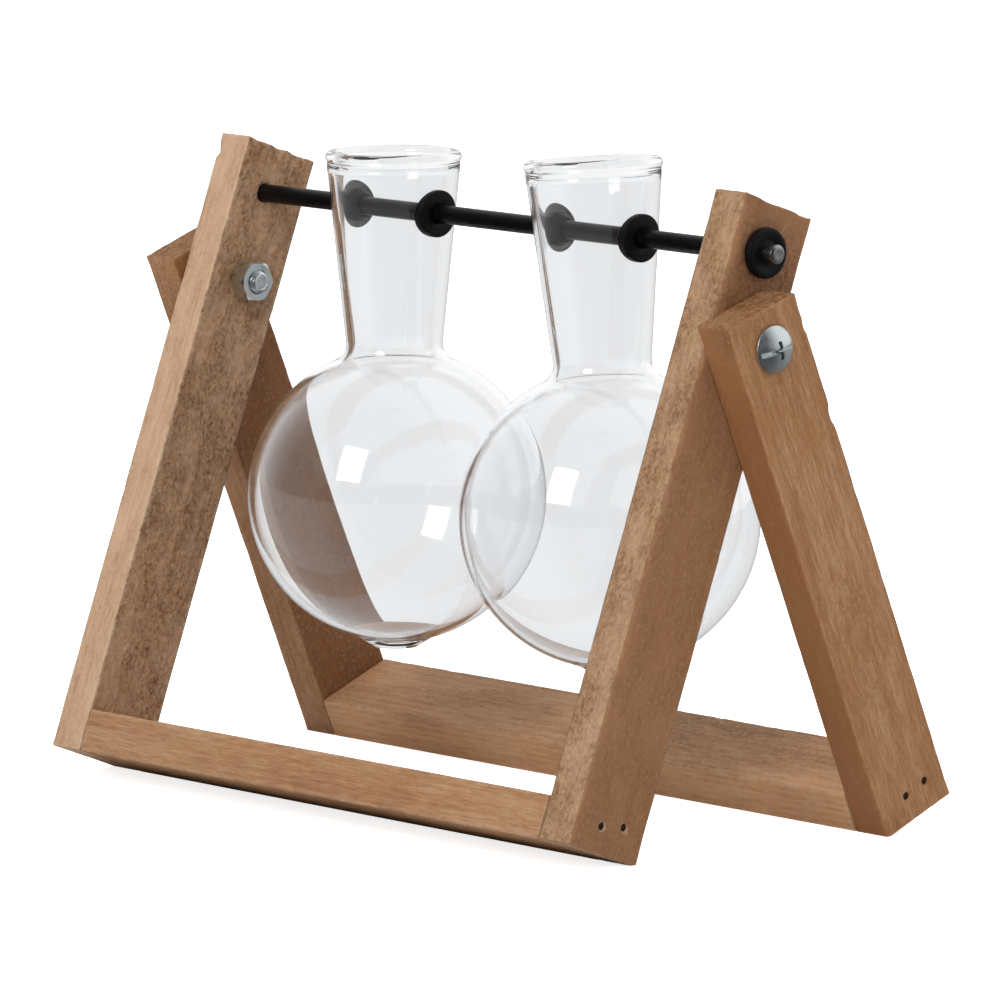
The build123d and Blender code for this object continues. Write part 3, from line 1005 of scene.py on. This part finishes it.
class PROPAGATION_OT_brads(bpy.types.Operator):
    """Drive the brads that hold the rails"""

    bl_idname = "propagation.brads"
    bl_label = "Brads"

    def execute(self, context):
        stand, metal = context.scene.propagation_stand, context.scene.propagation_metal
        # Drawn wire steel, left bare and oil stained: dark with a dull glint
        steel = worked_steel("wire_steel_drawn_dull", metal.brad_steel, 0.5, (2.0, 0.3, 0.3))
        for node, body, spot, side in brad_places(stand):
            low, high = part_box(node)
            depth = high.x - low.x
            shank, head = metal.brad / 2, metal.brad_head / 2 - 0.03 * MM
            point, head_depth, dome = 0.5 * MM, 0.6 * MM, 0.12 * MM
            bm = bmesh.new()
            add_outline(
                bm,
                [
                    (0.0, -depth),
                    (shank - point, -depth),
                    (shank, point - depth),
                    (shank, -head_depth),
                    (head, -head_depth),
                    (head, -dome),
                    (head * 0.6, -dome / 6),
                    (0.0, 0.0),
                ],
            )
            turn_round(bm, 24)
            # The heads are punched in below the wood
            sunk = spot - Vector((side * metal.brad_sink, 0.0, 0.0))
            bm.transform(facing(sunk, side))
            brad = new_piece(bm, f"steel_{node}")
            finish_piece(brad, node, body, [steel])
        return {"FINISHED"}


class PROPAGATION_OT_rod(bpy.types.Operator):
    """Turn the black rod with its bare bevelled ends"""

    bl_idname = "propagation.rod"
    bl_label = "Rod"

    def execute(self, context):
        metal = context.scene.propagation_metal
        # Mild steel bar, drawn and blacked: satin black with one long soft highlight
        black = worked_steel(
            "steel_bar_drawn_black", metal.rod_black, 0.34, (12.0, 0.2, 0.2), metallic=0.0
        )
        # The bar's ends, faced in a lathe: bright rings round a dull middle
        bare = worked_steel("steel_bar_turned_bare", metal.bare_steel, 0.3, (0.15, 0.8, 0.8))
        radius, bevel, end = metal.rod / 2, metal.rod_chamfer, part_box("rod")[1].x
        # The black stops 4.6 mm from the ends, and each end has a shallow centre mark
        coat, mark, mark_depth = end - 4.6 * MM, radius * 0.45, 0.1 * MM
        bm = bmesh.new()
        add_outline(
            bm,
            [
                (0.0, -end + mark_depth),
                (mark, -end),
                (radius - bevel, -end),
                (radius, -end + bevel),
                (radius, -coat),
                (radius, 0.0),
                (radius, coat),
                (radius, end - bevel),
                (radius - bevel, end),
                (mark, end),
                (0.0, end - mark_depth),
            ],
        )
        turn_round(bm, 64)
        soften(bm, 0.06 * MM, 2, 25.0)
        bm.transform(facing(Vector((0.0, *rod_place.yz)), 1))
        for face in bm.faces:
            face.material_index = 1 if abs(face.calc_center_median().x) > coat else 0
        rod = new_piece(bm, "steel_rod")
        finish_piece(rod, "rod", "rod", [black, bare])
        return {"FINISHED"}


class PROPAGATION_OT_stoppers(bpy.types.Operator):
    """Press the rubber stoppers onto the rod's ends"""

    bl_idname = "propagation.stoppers"
    bl_label = "Stoppers"

    def execute(self, context):
        metal, vase = context.scene.propagation_metal, context.scene.propagation_vases
        rubber = moulded_rubber("nitrile_rubber_moulded_stopper", vase.rubber)
        for name, side in SIDES.items():
            low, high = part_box(f"rod_stopper_{name}")
            depth, radius, bore = high.x - low.x, metal.stopper / 2, metal.rod / 2
            # A shallow moulded ring runs round the bore
            ring_depth = 0.35 * MM
            bm = bmesh.new()
            add_outline(
                bm,
                [
                    (bore, 0.0),
                    (radius, 0.0),
                    (radius, depth),
                    (bore + 1.9 * MM, depth),
                    (bore + 1.4 * MM, depth - ring_depth),
                    (bore + 0.5 * MM, depth - ring_depth),
                    (bore, depth - 0.1 * MM),
                ],
                closed=True,
            )
            turn_round(bm, 64)
            soften(bm, 0.85 * MM, 5, 60.0, lambda spot: hypot(spot.x, spot.y) > radius - 0.05 * MM)
            soften(bm, 0.1 * MM, 2, 40.0, lambda spot: hypot(spot.x, spot.y) < radius - 2 * MM)
            seat = low.x if side > 0 else high.x
            bm.transform(facing(Vector((seat, *rod_place.yz)), side))
            stopper = new_piece(bm, f"rubber_stopper_{name}")
            finish_piece(stopper, f"rod_stopper_{name}", "rod", [rubber])
        return {"FINISHED"}


class PROPAGATION_OT_screws(bpy.types.Operator):
    """Make the domed pivot screws, with their thread, slot and cross"""

    bl_idname = "propagation.screws"
    bl_label = "Pivot screws"

    def execute(self, context):
        metal = context.scene.propagation_metal
        # Steel, cold headed and zinc plated: bright and bluish, a little cloudy
        zinc = worked_steel("zinc_plated_steel_screw", metal.zinc, 0.34, (3.0, 3.0, 3.0), 0.002)
        for name, side in SIDES.items():
            low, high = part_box(f"pivot_screw_{name}")
            height, radius, rim = metal.screw_head_height, metal.screw_head / 2, 0.6 * MM
            seat = side * (high.x if side > 0 else -low.x) - side * height
            shank = (high.x - low.x) - height
            # Radius of the dome that rises from the rim to the head's height
            cap = (radius**2 + (height - rim) ** 2) / (2 * (height - rim))
            bm = bmesh.new()
            start = bm.verts.new((0.0, 0.0, -shank))
            threaded = 9.0 * MM
            last = draw_lines(
                bm,
                start,
                (
                    ((metal.screw / 2, -shank), 5),
                    ((metal.screw / 2, threaded - shank), 72),
                    ((metal.screw / 2, 0.0), 2),
                    ((radius, 0.0), 1),
                    ((radius, rim), 1),
                ),
            )
            draw_arc(bm, last, (0.0, height - cap), (0.0, height), 14)
            turn_round(bm, 64)
            self.thread(bm, metal, shank, threaded)
            soften(
                bm, 0.14 * MM, 3, 25.0, lambda spot: hypot(spot.x, spot.y) > radius - 0.05 * MM
            )
            bm.transform(facing(Vector((seat, *pivot_place.yz)), side))
            screw = new_piece(bm, f"steel_pivot_screw_{name}")
            crown = facing(Vector((seat + side * height, *pivot_place.yz)), side)
            crown = crown @ Matrix.Rotation(side * metal.slot_angle, 4, "Z")
            carve(screw, self.driver(metal, crown))
            finish_piece(screw, f"pivot_screw_{name}", "front_frame", [zinc], 30.0)
        return {"FINISHED"}

    def thread(self, bm, metal, shank, threaded):
        """Cuts a helical thread into the end of the shank, under a bevelled tip."""
        depth, radius, tip = 0.5 * MM, metal.screw / 2, 0.8 * MM
        for vert in bm.verts:
            out, up = hypot(vert.co.x, vert.co.y), vert.co.z + shank
            if out < 0.01 * MM or vert.co.z > -0.01 * MM or up > threaded:
                continue
            turn = (vert.co.z / metal.thread_pitch + atan2(vert.co.y, vert.co.x) / (2 * pi)) % 1.0
            groove = depth * abs(2 * turn - 1.0) * smooth((threaded - up) / MM)
            reach = min(out, radius - groove, radius - tip + up)
            vert.co.x *= reach / out
            vert.co.y *= reach / out

    def driver(self, metal, crown):
        """The slot and the tapered cross that are struck into a head."""
        wide = metal.screw_head + 2 * MM
        # Size across and along, depth, and the taper towards the bottom
        bars = (
            (metal.slot_width, wide, metal.slot_depth, 1.0),
            (metal.slot_width * 1.07, metal.cross_span, metal.cross_depth, 0.55),
            (metal.cross_span, metal.slot_width * 1.07, metal.cross_depth, 0.55),
        )
        tool = None
        for across, along, depth, taper in bars:
            bm = bmesh.new()
            bmesh.ops.create_cube(bm, size=1.0)
            bottom = [vert for vert in bm.verts if vert.co.z < 0]
            bmesh.ops.scale(bm, vec=(taper, taper, 1.0), verts=bottom)
            bmesh.ops.scale(bm, vec=(across, along, depth * 2), verts=bm.verts)
            bm.transform(crown)
            bar = new_piece(bm, "bar")
            if tool is None:
                tool = bar
            else:
                carve(tool, bar, "UNION")
        return tool


class PROPAGATION_OT_nuts(bpy.types.Operator):
    """Make the hexagon nuts with their bevelled corners"""

    bl_idname = "propagation.nuts"
    bl_label = "Pivot nuts"

    def execute(self, context):
        metal = context.scene.propagation_metal
        # Steel, cold formed and zinc plated: bright and bluish with crisp bevels
        zinc = worked_steel("zinc_plated_steel_nut", metal.zinc, 0.3, (3.0, 3.0, 3.0), 0.002)
        for name, side in SIDES.items():
            low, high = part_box(f"pivot_nut_{name}")
            seat = high.x if side > 0 else low.x
            depth = high.x - low.x
            corner, bore = metal.nut / sqrt(3), metal.screw / 2 + 0.02 * MM
            # The corners are turned off at 30 degrees, and the thread is countersunk
            turned_off, sink = 0.7 * MM, 0.45 * MM
            face, bevel = corner - turned_off, turned_off * tan(radians(30))
            bm = bmesh.new()
            add_outline(
                bm,
                [
                    (bore + sink, 0.0),
                    (face, 0.0),
                    (corner + 0.01 * MM, bevel),
                    (corner + 0.01 * MM, depth - bevel),
                    (face, depth),
                    (bore + sink, depth),
                    (bore, depth - sink),
                    (bore, sink),
                ],
                closed=True,
            )
            turn_round(bm, 96)
            placing = facing(Vector((seat, *pivot_place.yz)), -side)
            bm.transform(placing)
            turned = new_piece(bm, "turned")
            bm = bmesh.new()
            bmesh.ops.create_cone(
                bm,
                cap_ends=True,
                segments=6,
                radius1=corner,
                radius2=corner,
                depth=depth + 2 * MM,
                matrix=Matrix.Translation((0.0, 0.0, depth / 2)),
            )
            bm.transform(placing @ Matrix.Rotation(side * metal.nut_turn, 4, "Z"))
            nut = new_piece(bm, f"steel_pivot_nut_{name}")
            carve(nut, turned, "INTERSECT")
            finish_piece(nut, f"pivot_nut_{name}", "front_frame", [zinc], 20.0)
        return {"FINISHED"}


# Glass and rubber


def fillet_centre(sphere, root, edge, radius):
    """Centre of the fillet between a sphere round the origin and the line from root to edge."""
    line = Vector((edge[0] - root[0], edge[1] - root[1])).normalized()
    out = Vector((line.y, -line.x))
    start = Vector(root) + out * radius
    half = start.dot(line)
    reach = -half + sqrt(half**2 - start.length_squared + (sphere + radius) ** 2)
    return start + line * reach, out


def vase_facts(vase, name):
    """Placing of a vase's bulb centre, its mouth's height and its rod's height."""
    neck, drop, tilt = {
        "left": (vase.left_neck, vase.left_rod_drop, vase.left_tilt),
        "right": (vase.right_neck, vase.right_rod_drop, vase.right_tilt),
    }[name]
    mouth = vase.bulb_diameter / 2 + neck
    low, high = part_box(f"vase_{name}")
    centre = Vector((0.0, rod_place.y, rod_place.z - (mouth - drop) * cos(tilt)))
    centre.x = (low.x + high.x) / 2
    return Matrix.Translation(centre) @ Matrix.Rotation(tilt, 4, "Y"), mouth, mouth - drop


def neck_outline(vase, mouth):
    """Outer and inner (root, mouth) points of the neck, as (radius, height) pairs."""
    sphere, root = vase.bulb_diameter / 2, vase.neck_root / 2
    inner_sphere, inner_root = sphere - vase.bulb_wall, root - vase.neck_wall
    outer = ((root, sqrt(sphere**2 - root**2)), (vase.mouth / 2, mouth))
    inner = (
        (inner_root, sqrt(inner_sphere**2 - inner_root**2)),
        (vase.mouth / 2 - vase.neck_wall, mouth),
    )
    return outer, inner


class PROPAGATION_OT_vases(bpy.types.Operator):
    """Blow the two round vases and pierce their necks"""

    bl_idname = "propagation.vases"
    bl_label = "Vases"

    def execute(self, context):
        vase = context.scene.propagation_vases
        glass = blown_glass(vase)
        for name in SIDES:
            placing, mouth, rod_height = vase_facts(vase, name)
            bm = bmesh.new()
            self.draw_wall(bm, vase, mouth)
            turn_round(bm, 144)
            bm.transform(placing)
            body = new_piece(bm, f"glass_vase_{name}")
            at_rod = placing @ Vector((0.0, 0.0, rod_height))
            carve(body, drill_bits("bit", [(at_rod, (1, 0, 0), vase.hole / 2, 60 * MM)]))
            finish_piece(body, f"vase_{name}", f"vase_{name}", [glass], 50.0)
        return {"FINISHED"}

    def draw_wall(self, bm, vase, mouth):
        """Half section of the glass, from under the nub, over the rim and down inside."""
        sphere = vase.bulb_diameter / 2
        hollow = sphere - vase.bulb_wall
        (root, edge), (inner_root, inner_edge) = neck_outline(vase, mouth)
        fillet, out = fillet_centre(sphere, root, edge, vase.neck_fillet)
        inner_fillet_radius = vase.neck_fillet + vase.neck_wall
        inner_fillet, inner_out = fillet_centre(hollow, inner_root, inner_edge, inner_fillet_radius)
        rim = vase.rim_thickness / 2
        base = -sphere - vase.nub_height
        nub, flat = vase.nub / 2, vase.nub_flat / 2
        nub_height = -sqrt(sphere**2 - nub**2)

        # The nub: a hollow flat, a rounded foot, and a raised ring where it meets the bulb
        start = bm.verts.new((0.0, 0.0, base + 0.35 * MM))
        last = draw_lines(
            bm,
            start,
            (
                ((flat * 0.5, base + 0.3 * MM), 3),
                ((flat * 0.85, base), 3),
                ((flat + 0.3 * MM, base + 0.15 * MM), 2),
                ((nub - 0.4 * MM, nub_height - 0.25 * MM), 4),
                ((nub + 0.5 * MM, nub_height + 0.16 * MM), 2),
            ),
        )
        last = draw_arc(bm, last, (0.0, 0.0), fillet * sphere / fillet.length, 58)
        last = draw_arc(bm, last, fillet, fillet - out * vase.neck_fillet, 7)

        # From 4.4 mm below the mouth the neck draws in a little, under the rim's bead
        slope = (Vector(edge) - Vector(root)).normalized()
        below = Vector(edge) - slope * 4.4 * MM
        drawn_in = below + slope * 1.2 * MM - Vector((0.16 * MM, 0.0))
        bead = Vector((edge[0] - rim, edge[1] - rim))
        outside, inside = (Vector((cos(radians(a)), sin(radians(a)))) * rim for a in (-38, 212))
        last = draw_lines(bm, last, ((below, 26), (drawn_in, 3), (bead + outside, 1)))
        last = draw_arc(bm, last, bead, (bead.x, bead.y + rim), 14)
        last = draw_arc(bm, last, bead, bead + inside, 14)

        # Down inside
        inner_slope = (Vector(inner_edge) - Vector(inner_root)).normalized()
        bead_foot = Vector(inner_edge) - inner_slope * vase.rim_foot
        inner_foot = inner_fillet - inner_out * inner_fillet_radius
        last = draw_lines(bm, last, ((bead_foot, 4), (inner_foot, 26)))
        last = draw_arc(bm, last, inner_fillet, inner_fillet * hollow / inner_fillet.length, 7)
        last = draw_arc(bm, last, (0.0, 0.0), (0.0, -hollow), 60)
        last.co.x = 0.0


class PROPAGATION_OT_grommets(bpy.types.Operator):
    """Press the four rubber grommets into the necks"""

    bl_idname = "propagation.grommets"
    bl_label = "Grommets"

    def execute(self, context):
        vase, metal = context.scene.propagation_vases, context.scene.propagation_metal
        rubber = moulded_rubber("nitrile_rubber_moulded_grommet", vase.rubber, 0.42)
        for name, side in SIDES.items():
            placing, mouth, rod_height = vase_facts(vase, name)
            rod_spot = placing @ Vector((0.0, 0.0, rod_height))
            outer, inner = neck_outline(vase, mouth)
            wall = self.radius(outer, rod_height) - self.radius(inner, rod_height)
            for place, way in (("outer", side), ("inner", -side)):
                bm = bmesh.new()
                self.draw_section(bm, vase, metal, wall)
                turn_round(bm, 64)
                # The flange follows the round glass, its outer face less than its seat
                reach = self.radius(outer, rod_height)
                for vert in bm.verts:
                    spot = rod_spot + Vector((0.0, -vert.co.y, vert.co.x))
                    seat = self.surface(placing, outer, spot, way, reach)
                    weight = 1.0 - 0.7 * smooth(vert.co.z / vase.flange_thickness)
                    out = reach + weight * (seat - reach) + vert.co.z
                    vert.co = spot + Vector((way * out, 0.0, 0.0))
                bmesh.ops.recalc_face_normals(bm, faces=bm.faces)
                grommet = new_piece(bm, f"rubber_grommet_{name}_{place}")
                node = f"grommet_{name}_{place}"
                finish_piece(grommet, node, f"vase_{name}", [rubber])
        return {"FINISHED"}

    def radius(self, line, height):
        """Radius of the neck's line at a height."""
        (low, low_height), (high, high_height) = line
        return low + (high - low) * (height - low_height) / (high_height - low_height)

    def surface(self, placing, line, spot, way, reach):
        """How far from the rod's middle the glass lies beyond a spot, along X."""
        back = placing.inverted()
        for _ in range(5):
            local = back @ (spot + Vector((way * reach, 0.0, 0.0)))
            reach += self.radius(line, local.z) - hypot(local.x, local.y)
        return reach

    def draw_section(self, bm, vase, metal, wall):
        """Half section of a grommet: its flange on the glass, sleeve and tapered lip."""
        bore, hole, flange = metal.rod / 2 + 0.05 * MM, vase.hole / 2 - 0.04 * MM, vase.flange / 2
        top, seat, edge_round = vase.flange_thickness, 0.03 * MM, 0.45 * MM
        lip, lip_end = vase.lip / 2, vase.lip_end / 2
        inside, end = -wall - 0.03 * MM, -wall - vase.lip_length
        start = bm.verts.new((bore, 0.0, top - 0.3 * MM))
        last = draw_lines(
            bm, start, (((bore + 0.5 * MM, top), 1), ((flange - edge_round, top), 3))
        )
        centre = (flange - edge_round, top - edge_round)
        last = draw_arc(bm, last, centre, (flange, top - edge_round), 5)
        draw_lines(
            bm,
            last,
            (
                ((flange, seat + 0.15 * MM), 1),
                ((flange - 0.15 * MM, seat), 1),
                ((hole, seat), 4),
                ((hole, inside), 3),
                ((lip - 0.2 * MM, inside), 2),
                ((lip, -wall - 0.3 * MM), 1),
                ((lip_end, end + 0.2 * MM), 5),
                ((lip_end - 0.3 * MM, end), 1),
                ((bore, end), 2),
                (start.co.xz, 6),
            ),
        )


# Stage


# Level direction from the stand to the dim side, some 34 degrees off the camera's
TO_DIM_SIDE = (0.25, -0.96)
BLACK, WHITE = (0.0, 0.0, 0.0, 1.0), (1.0, 1.0, 1.0, 1.0)
# Camera that the photo's edges of wood, rod and bulbs fit, in millimetres and degrees
CAMERA_PLACE = (1855.637, -1649.465, 419.341)
CAMERA_TARGET = (4.3978, 3.522, 80.7231)
CAMERA_LENS, CAMERA_ROLL = 337.55, 0.1006


class PROPAGATION_OT_stage(bpy.types.Operator):
    """Set up the pale floor, the soft studio light and the camera"""

    bl_idname = "propagation.stage"
    bl_label = "Stage"

    def execute(self, context):
        stage = context.scene.propagation_stage
        self.lay_floor(stage)
        self.light_room(context.scene, stage)
        self.place_camera(context.scene)
        context.scene.view_settings.view_transform = "Standard"
        # A ray through both vases crosses eight glass surfaces, and bounces inside the walls
        context.scene.cycles.max_bounces = 32
        context.scene.cycles.transmission_bounces = 28
        context.scene.cycles.glossy_bounces = 12
        return {"FINISHED"}

    def lay_floor(self, stage):
        """Matt white card on a light table, whose glow washes the shadows out. In reflections
        the card shows a painted shade instead of its white, darker towards the camera."""
        material, tree, shader = new_material("white_card_matt")
        path = add_node(tree, "ShaderNodeLightPath").outputs
        # Rays that come through glass are glossy rays too
        through = path["Is Transmission Ray"]
        mirrored = add_node(
            tree,
            "ShaderNodeMath",
            {0: path["Is Glossy Ray"], 1: through},
            operation="SUBTRACT",
            use_clamp=True,
        ).outputs[0]
        glow = 0.0
        for ray, strength in (
            (through, stage.glass_glow),
            (path["Is Camera Ray"], stage.floor_glow),
        ):
            glow = add_node(
                tree, "ShaderNodeMath", {0: ray, 1: strength, 2: glow}, operation="MULTIPLY_ADD"
            ).outputs[0]
        place = add_node(tree, "ShaderNodeTexCoord").outputs["Object"]
        # The painted shade in reflections begins 0.25 m behind the stand
        reflection_shade = self.dimmed(tree, place, 0.0, (-0.25, 0.1), stage.reflection_floor_shade, stage)
        # Glossy rays see the painted shade, all other rays the white card
        seen = add_node(
            tree,
            "ShaderNodeMix",
            {"Factor": mirrored, 6: stage.floor, 7: reflection_shade},
            data_type="RGBA",
        ).outputs[2]
        # Through glass only the even glow shows, so no shadows muddy it
        card = add_node(
            tree, "ShaderNodeMix", {"Factor": through, 6: seen, 7: BLACK}, data_type="RGBA"
        ).outputs[2]
        tree.links.new(glow, shader.inputs["Emission Strength"])
        tree.links.new(card, shader.inputs["Base Color"])
        shader.inputs["Emission Color"].default_value = stage.surround
        shader.inputs["Roughness"].default_value = 0.95
        shader.inputs["Specular IOR Level"].default_value = 0.0
        bm = bmesh.new()
        bmesh.ops.create_grid(bm, x_segments=8, y_segments=8, size=6.0)
        floor = new_piece(bm, "floor")
        floor.data.materials.append(material)

    def dimmed(self, tree, way, rise, span, bright, stage):
        """A bright colour that passes into the dark one over a span, towards the dim side."""
        towards = add_node(
            tree, "ShaderNodeVectorMath", {0: way, 1: (*TO_DIM_SIDE, rise)}, operation="DOT_PRODUCT"
        ).outputs["Value"]
        side = add_node(
            tree, "ShaderNodeMapRange", {"Value": towards, 1: span[0], 2: span[1]}
        ).outputs["Result"]
        return add_node(
            tree, "ShaderNodeMix", {"Factor": side, 6: bright, 7: stage.dark_side}, data_type="RGBA"
        ).outputs[2]

    def light_room(self, scene, stage):
        """White all round, with a dim side behind the camera that draws the glass edges."""
        world = bpy.data.worlds.new("studio")
        scene.world = world
        world.use_nodes = True
        tree = world.node_tree
        background = tree.nodes["Background"]
        way = add_node(tree, "ShaderNodeTexCoord").outputs["Generated"]
        shade = self.dimmed(tree, way, 0.1, (-0.35, 0.45), stage.surround, stage)
        seen = add_node(tree, "ShaderNodeLightPath").outputs["Is Camera Ray"]
        light = add_node(
            tree,
            "ShaderNodeMix",
            {"Factor": seen, 6: shade, 7: WHITE},
            data_type="RGBA",
        ).outputs[2]
        tree.links.new(light, background.inputs["Color"])
        background.inputs["Strength"].default_value = 1.0
        middle = Vector((0.0, 0.0, 0.09))
        # Direction, distance, width, height, power, and whether it is mirrored: only the key
        # is, so that the others leave no streaks on the glass
        rows = (
            ("key", Vector((0.129, -0.867, 0.466)), 1.3, 0.45, 0.6, stage.key_power, True),
            ("wash", Vector((0.3, -0.6, 0.75)), 1.4, 0.7, 0.7, stage.wash_power, False),
            ("side", Vector((0.9, -0.2, 0.4)), 1.4, 0.9, 0.9, stage.side_power, False),
            ("top", Vector((-0.25, 0.2, 0.95)), 1.5, 0.9, 0.9, stage.top_power, False),
        )
        for name, way, distance, width, height, power, mirrored in rows:
            light = bpy.data.lights.new(name, "AREA")
            light.shape = "RECTANGLE"
            light.size, light.size_y, light.energy = width, height, power
            lamp = bpy.data.objects.new(name, light)
            lamp.visible_glossy = lamp.visible_transmission = mirrored
            scene.collection.objects.link(lamp)
            turn = way.to_track_quat("Z", "Y").to_matrix().to_4x4()
            lamp.matrix_world = Matrix.Translation(middle + way.normalized() * distance) @ turn

    def place_camera(self, scene):
        """Long lens from the right front, as the photo was taken."""
        lens = bpy.data.cameras.new("camera")
        lens.lens, lens.sensor_width = CAMERA_LENS, 36.0
        lens.clip_start, lens.clip_end = 0.1, 50.0
        camera = bpy.data.objects.new("camera", lens)
        scene.collection.objects.link(camera)
        eye, target = Vector(CAMERA_PLACE) * MM, Vector(CAMERA_TARGET) * MM
        turn = (target - eye).to_track_quat("-Z", "Y").to_matrix().to_4x4()
        roll = Matrix.Rotation(radians(CAMERA_ROLL), 4, "Z")
        camera.matrix_world = Matrix.Translation(eye) @ turn @ roll
        scene.camera = camera


class PROPAGATION_PT_panel(bpy.types.Panel):
    """Lists the settings and the steps"""

    bl_idname = "PROPAGATION_PT_panel"
    bl_label = "Propagation Vase"
    bl_space_type = "VIEW_3D"
    bl_region_type = "UI"
    bl_category = "Propagation Vase"

    def draw(self, context):
        scene = context.scene
        groups = (
            (scene.propagation_stand, STAND_STEPS),
            (scene.propagation_metal, METAL_STEPS),
            (scene.propagation_vases, VASE_STEPS),
            (scene.propagation_stage, STAGE_STEPS),
        )
        for settings, steps in groups:
            box = self.layout.box()
            for key in settings.__annotations__:
                box.prop(settings, key)
            for step in steps:
                box.operator(step.bl_idname)


STAND_STEPS = (PROPAGATION_OT_legs, PROPAGATION_OT_rails)
METAL_STEPS = (
    PROPAGATION_OT_brads,
    PROPAGATION_OT_rod,
    PROPAGATION_OT_stoppers,
    PROPAGATION_OT_screws,
    PROPAGATION_OT_nuts,
)
VASE_STEPS = (PROPAGATION_OT_vases, PROPAGATION_OT_grommets)
STAGE_STEPS = (PROPAGATION_OT_stage,)
STEPS = STAND_STEPS + METAL_STEPS + VASE_STEPS + STAGE_STEPS
SETTINGS = {
    "propagation_stand": StandSettings,
    "propagation_metal": HardwareSettings,
    "propagation_vases": VaseSettings,
    "propagation_stage": StageSettings,
}


def register():
    for cls in (*SETTINGS.values(), *STEPS, PROPAGATION_PT_panel):
        bpy.utils.register_class(cls)
    for name, cls in SETTINGS.items():
        setattr(bpy.types.Scene, name, PointerProperty(type=cls))


def unregister():
    for name in SETTINGS:
        delattr(bpy.types.Scene, name)
    for cls in reversed((*SETTINGS.values(), *STEPS, PROPAGATION_PT_panel)):
        bpy.utils.unregister_class(cls)


def main():
    register()
    bpy.ops.propagation.legs()
    bpy.ops.propagation.rails()
    bpy.ops.propagation.brads()
    bpy.ops.propagation.rod()
    bpy.ops.propagation.stoppers()
    bpy.ops.propagation.screws()
    bpy.ops.propagation.nuts()
    bpy.ops.propagation.vases()
    bpy.ops.propagation.grommets()
    bpy.ops.propagation.stage()


if __name__ == "__main__":
    main()
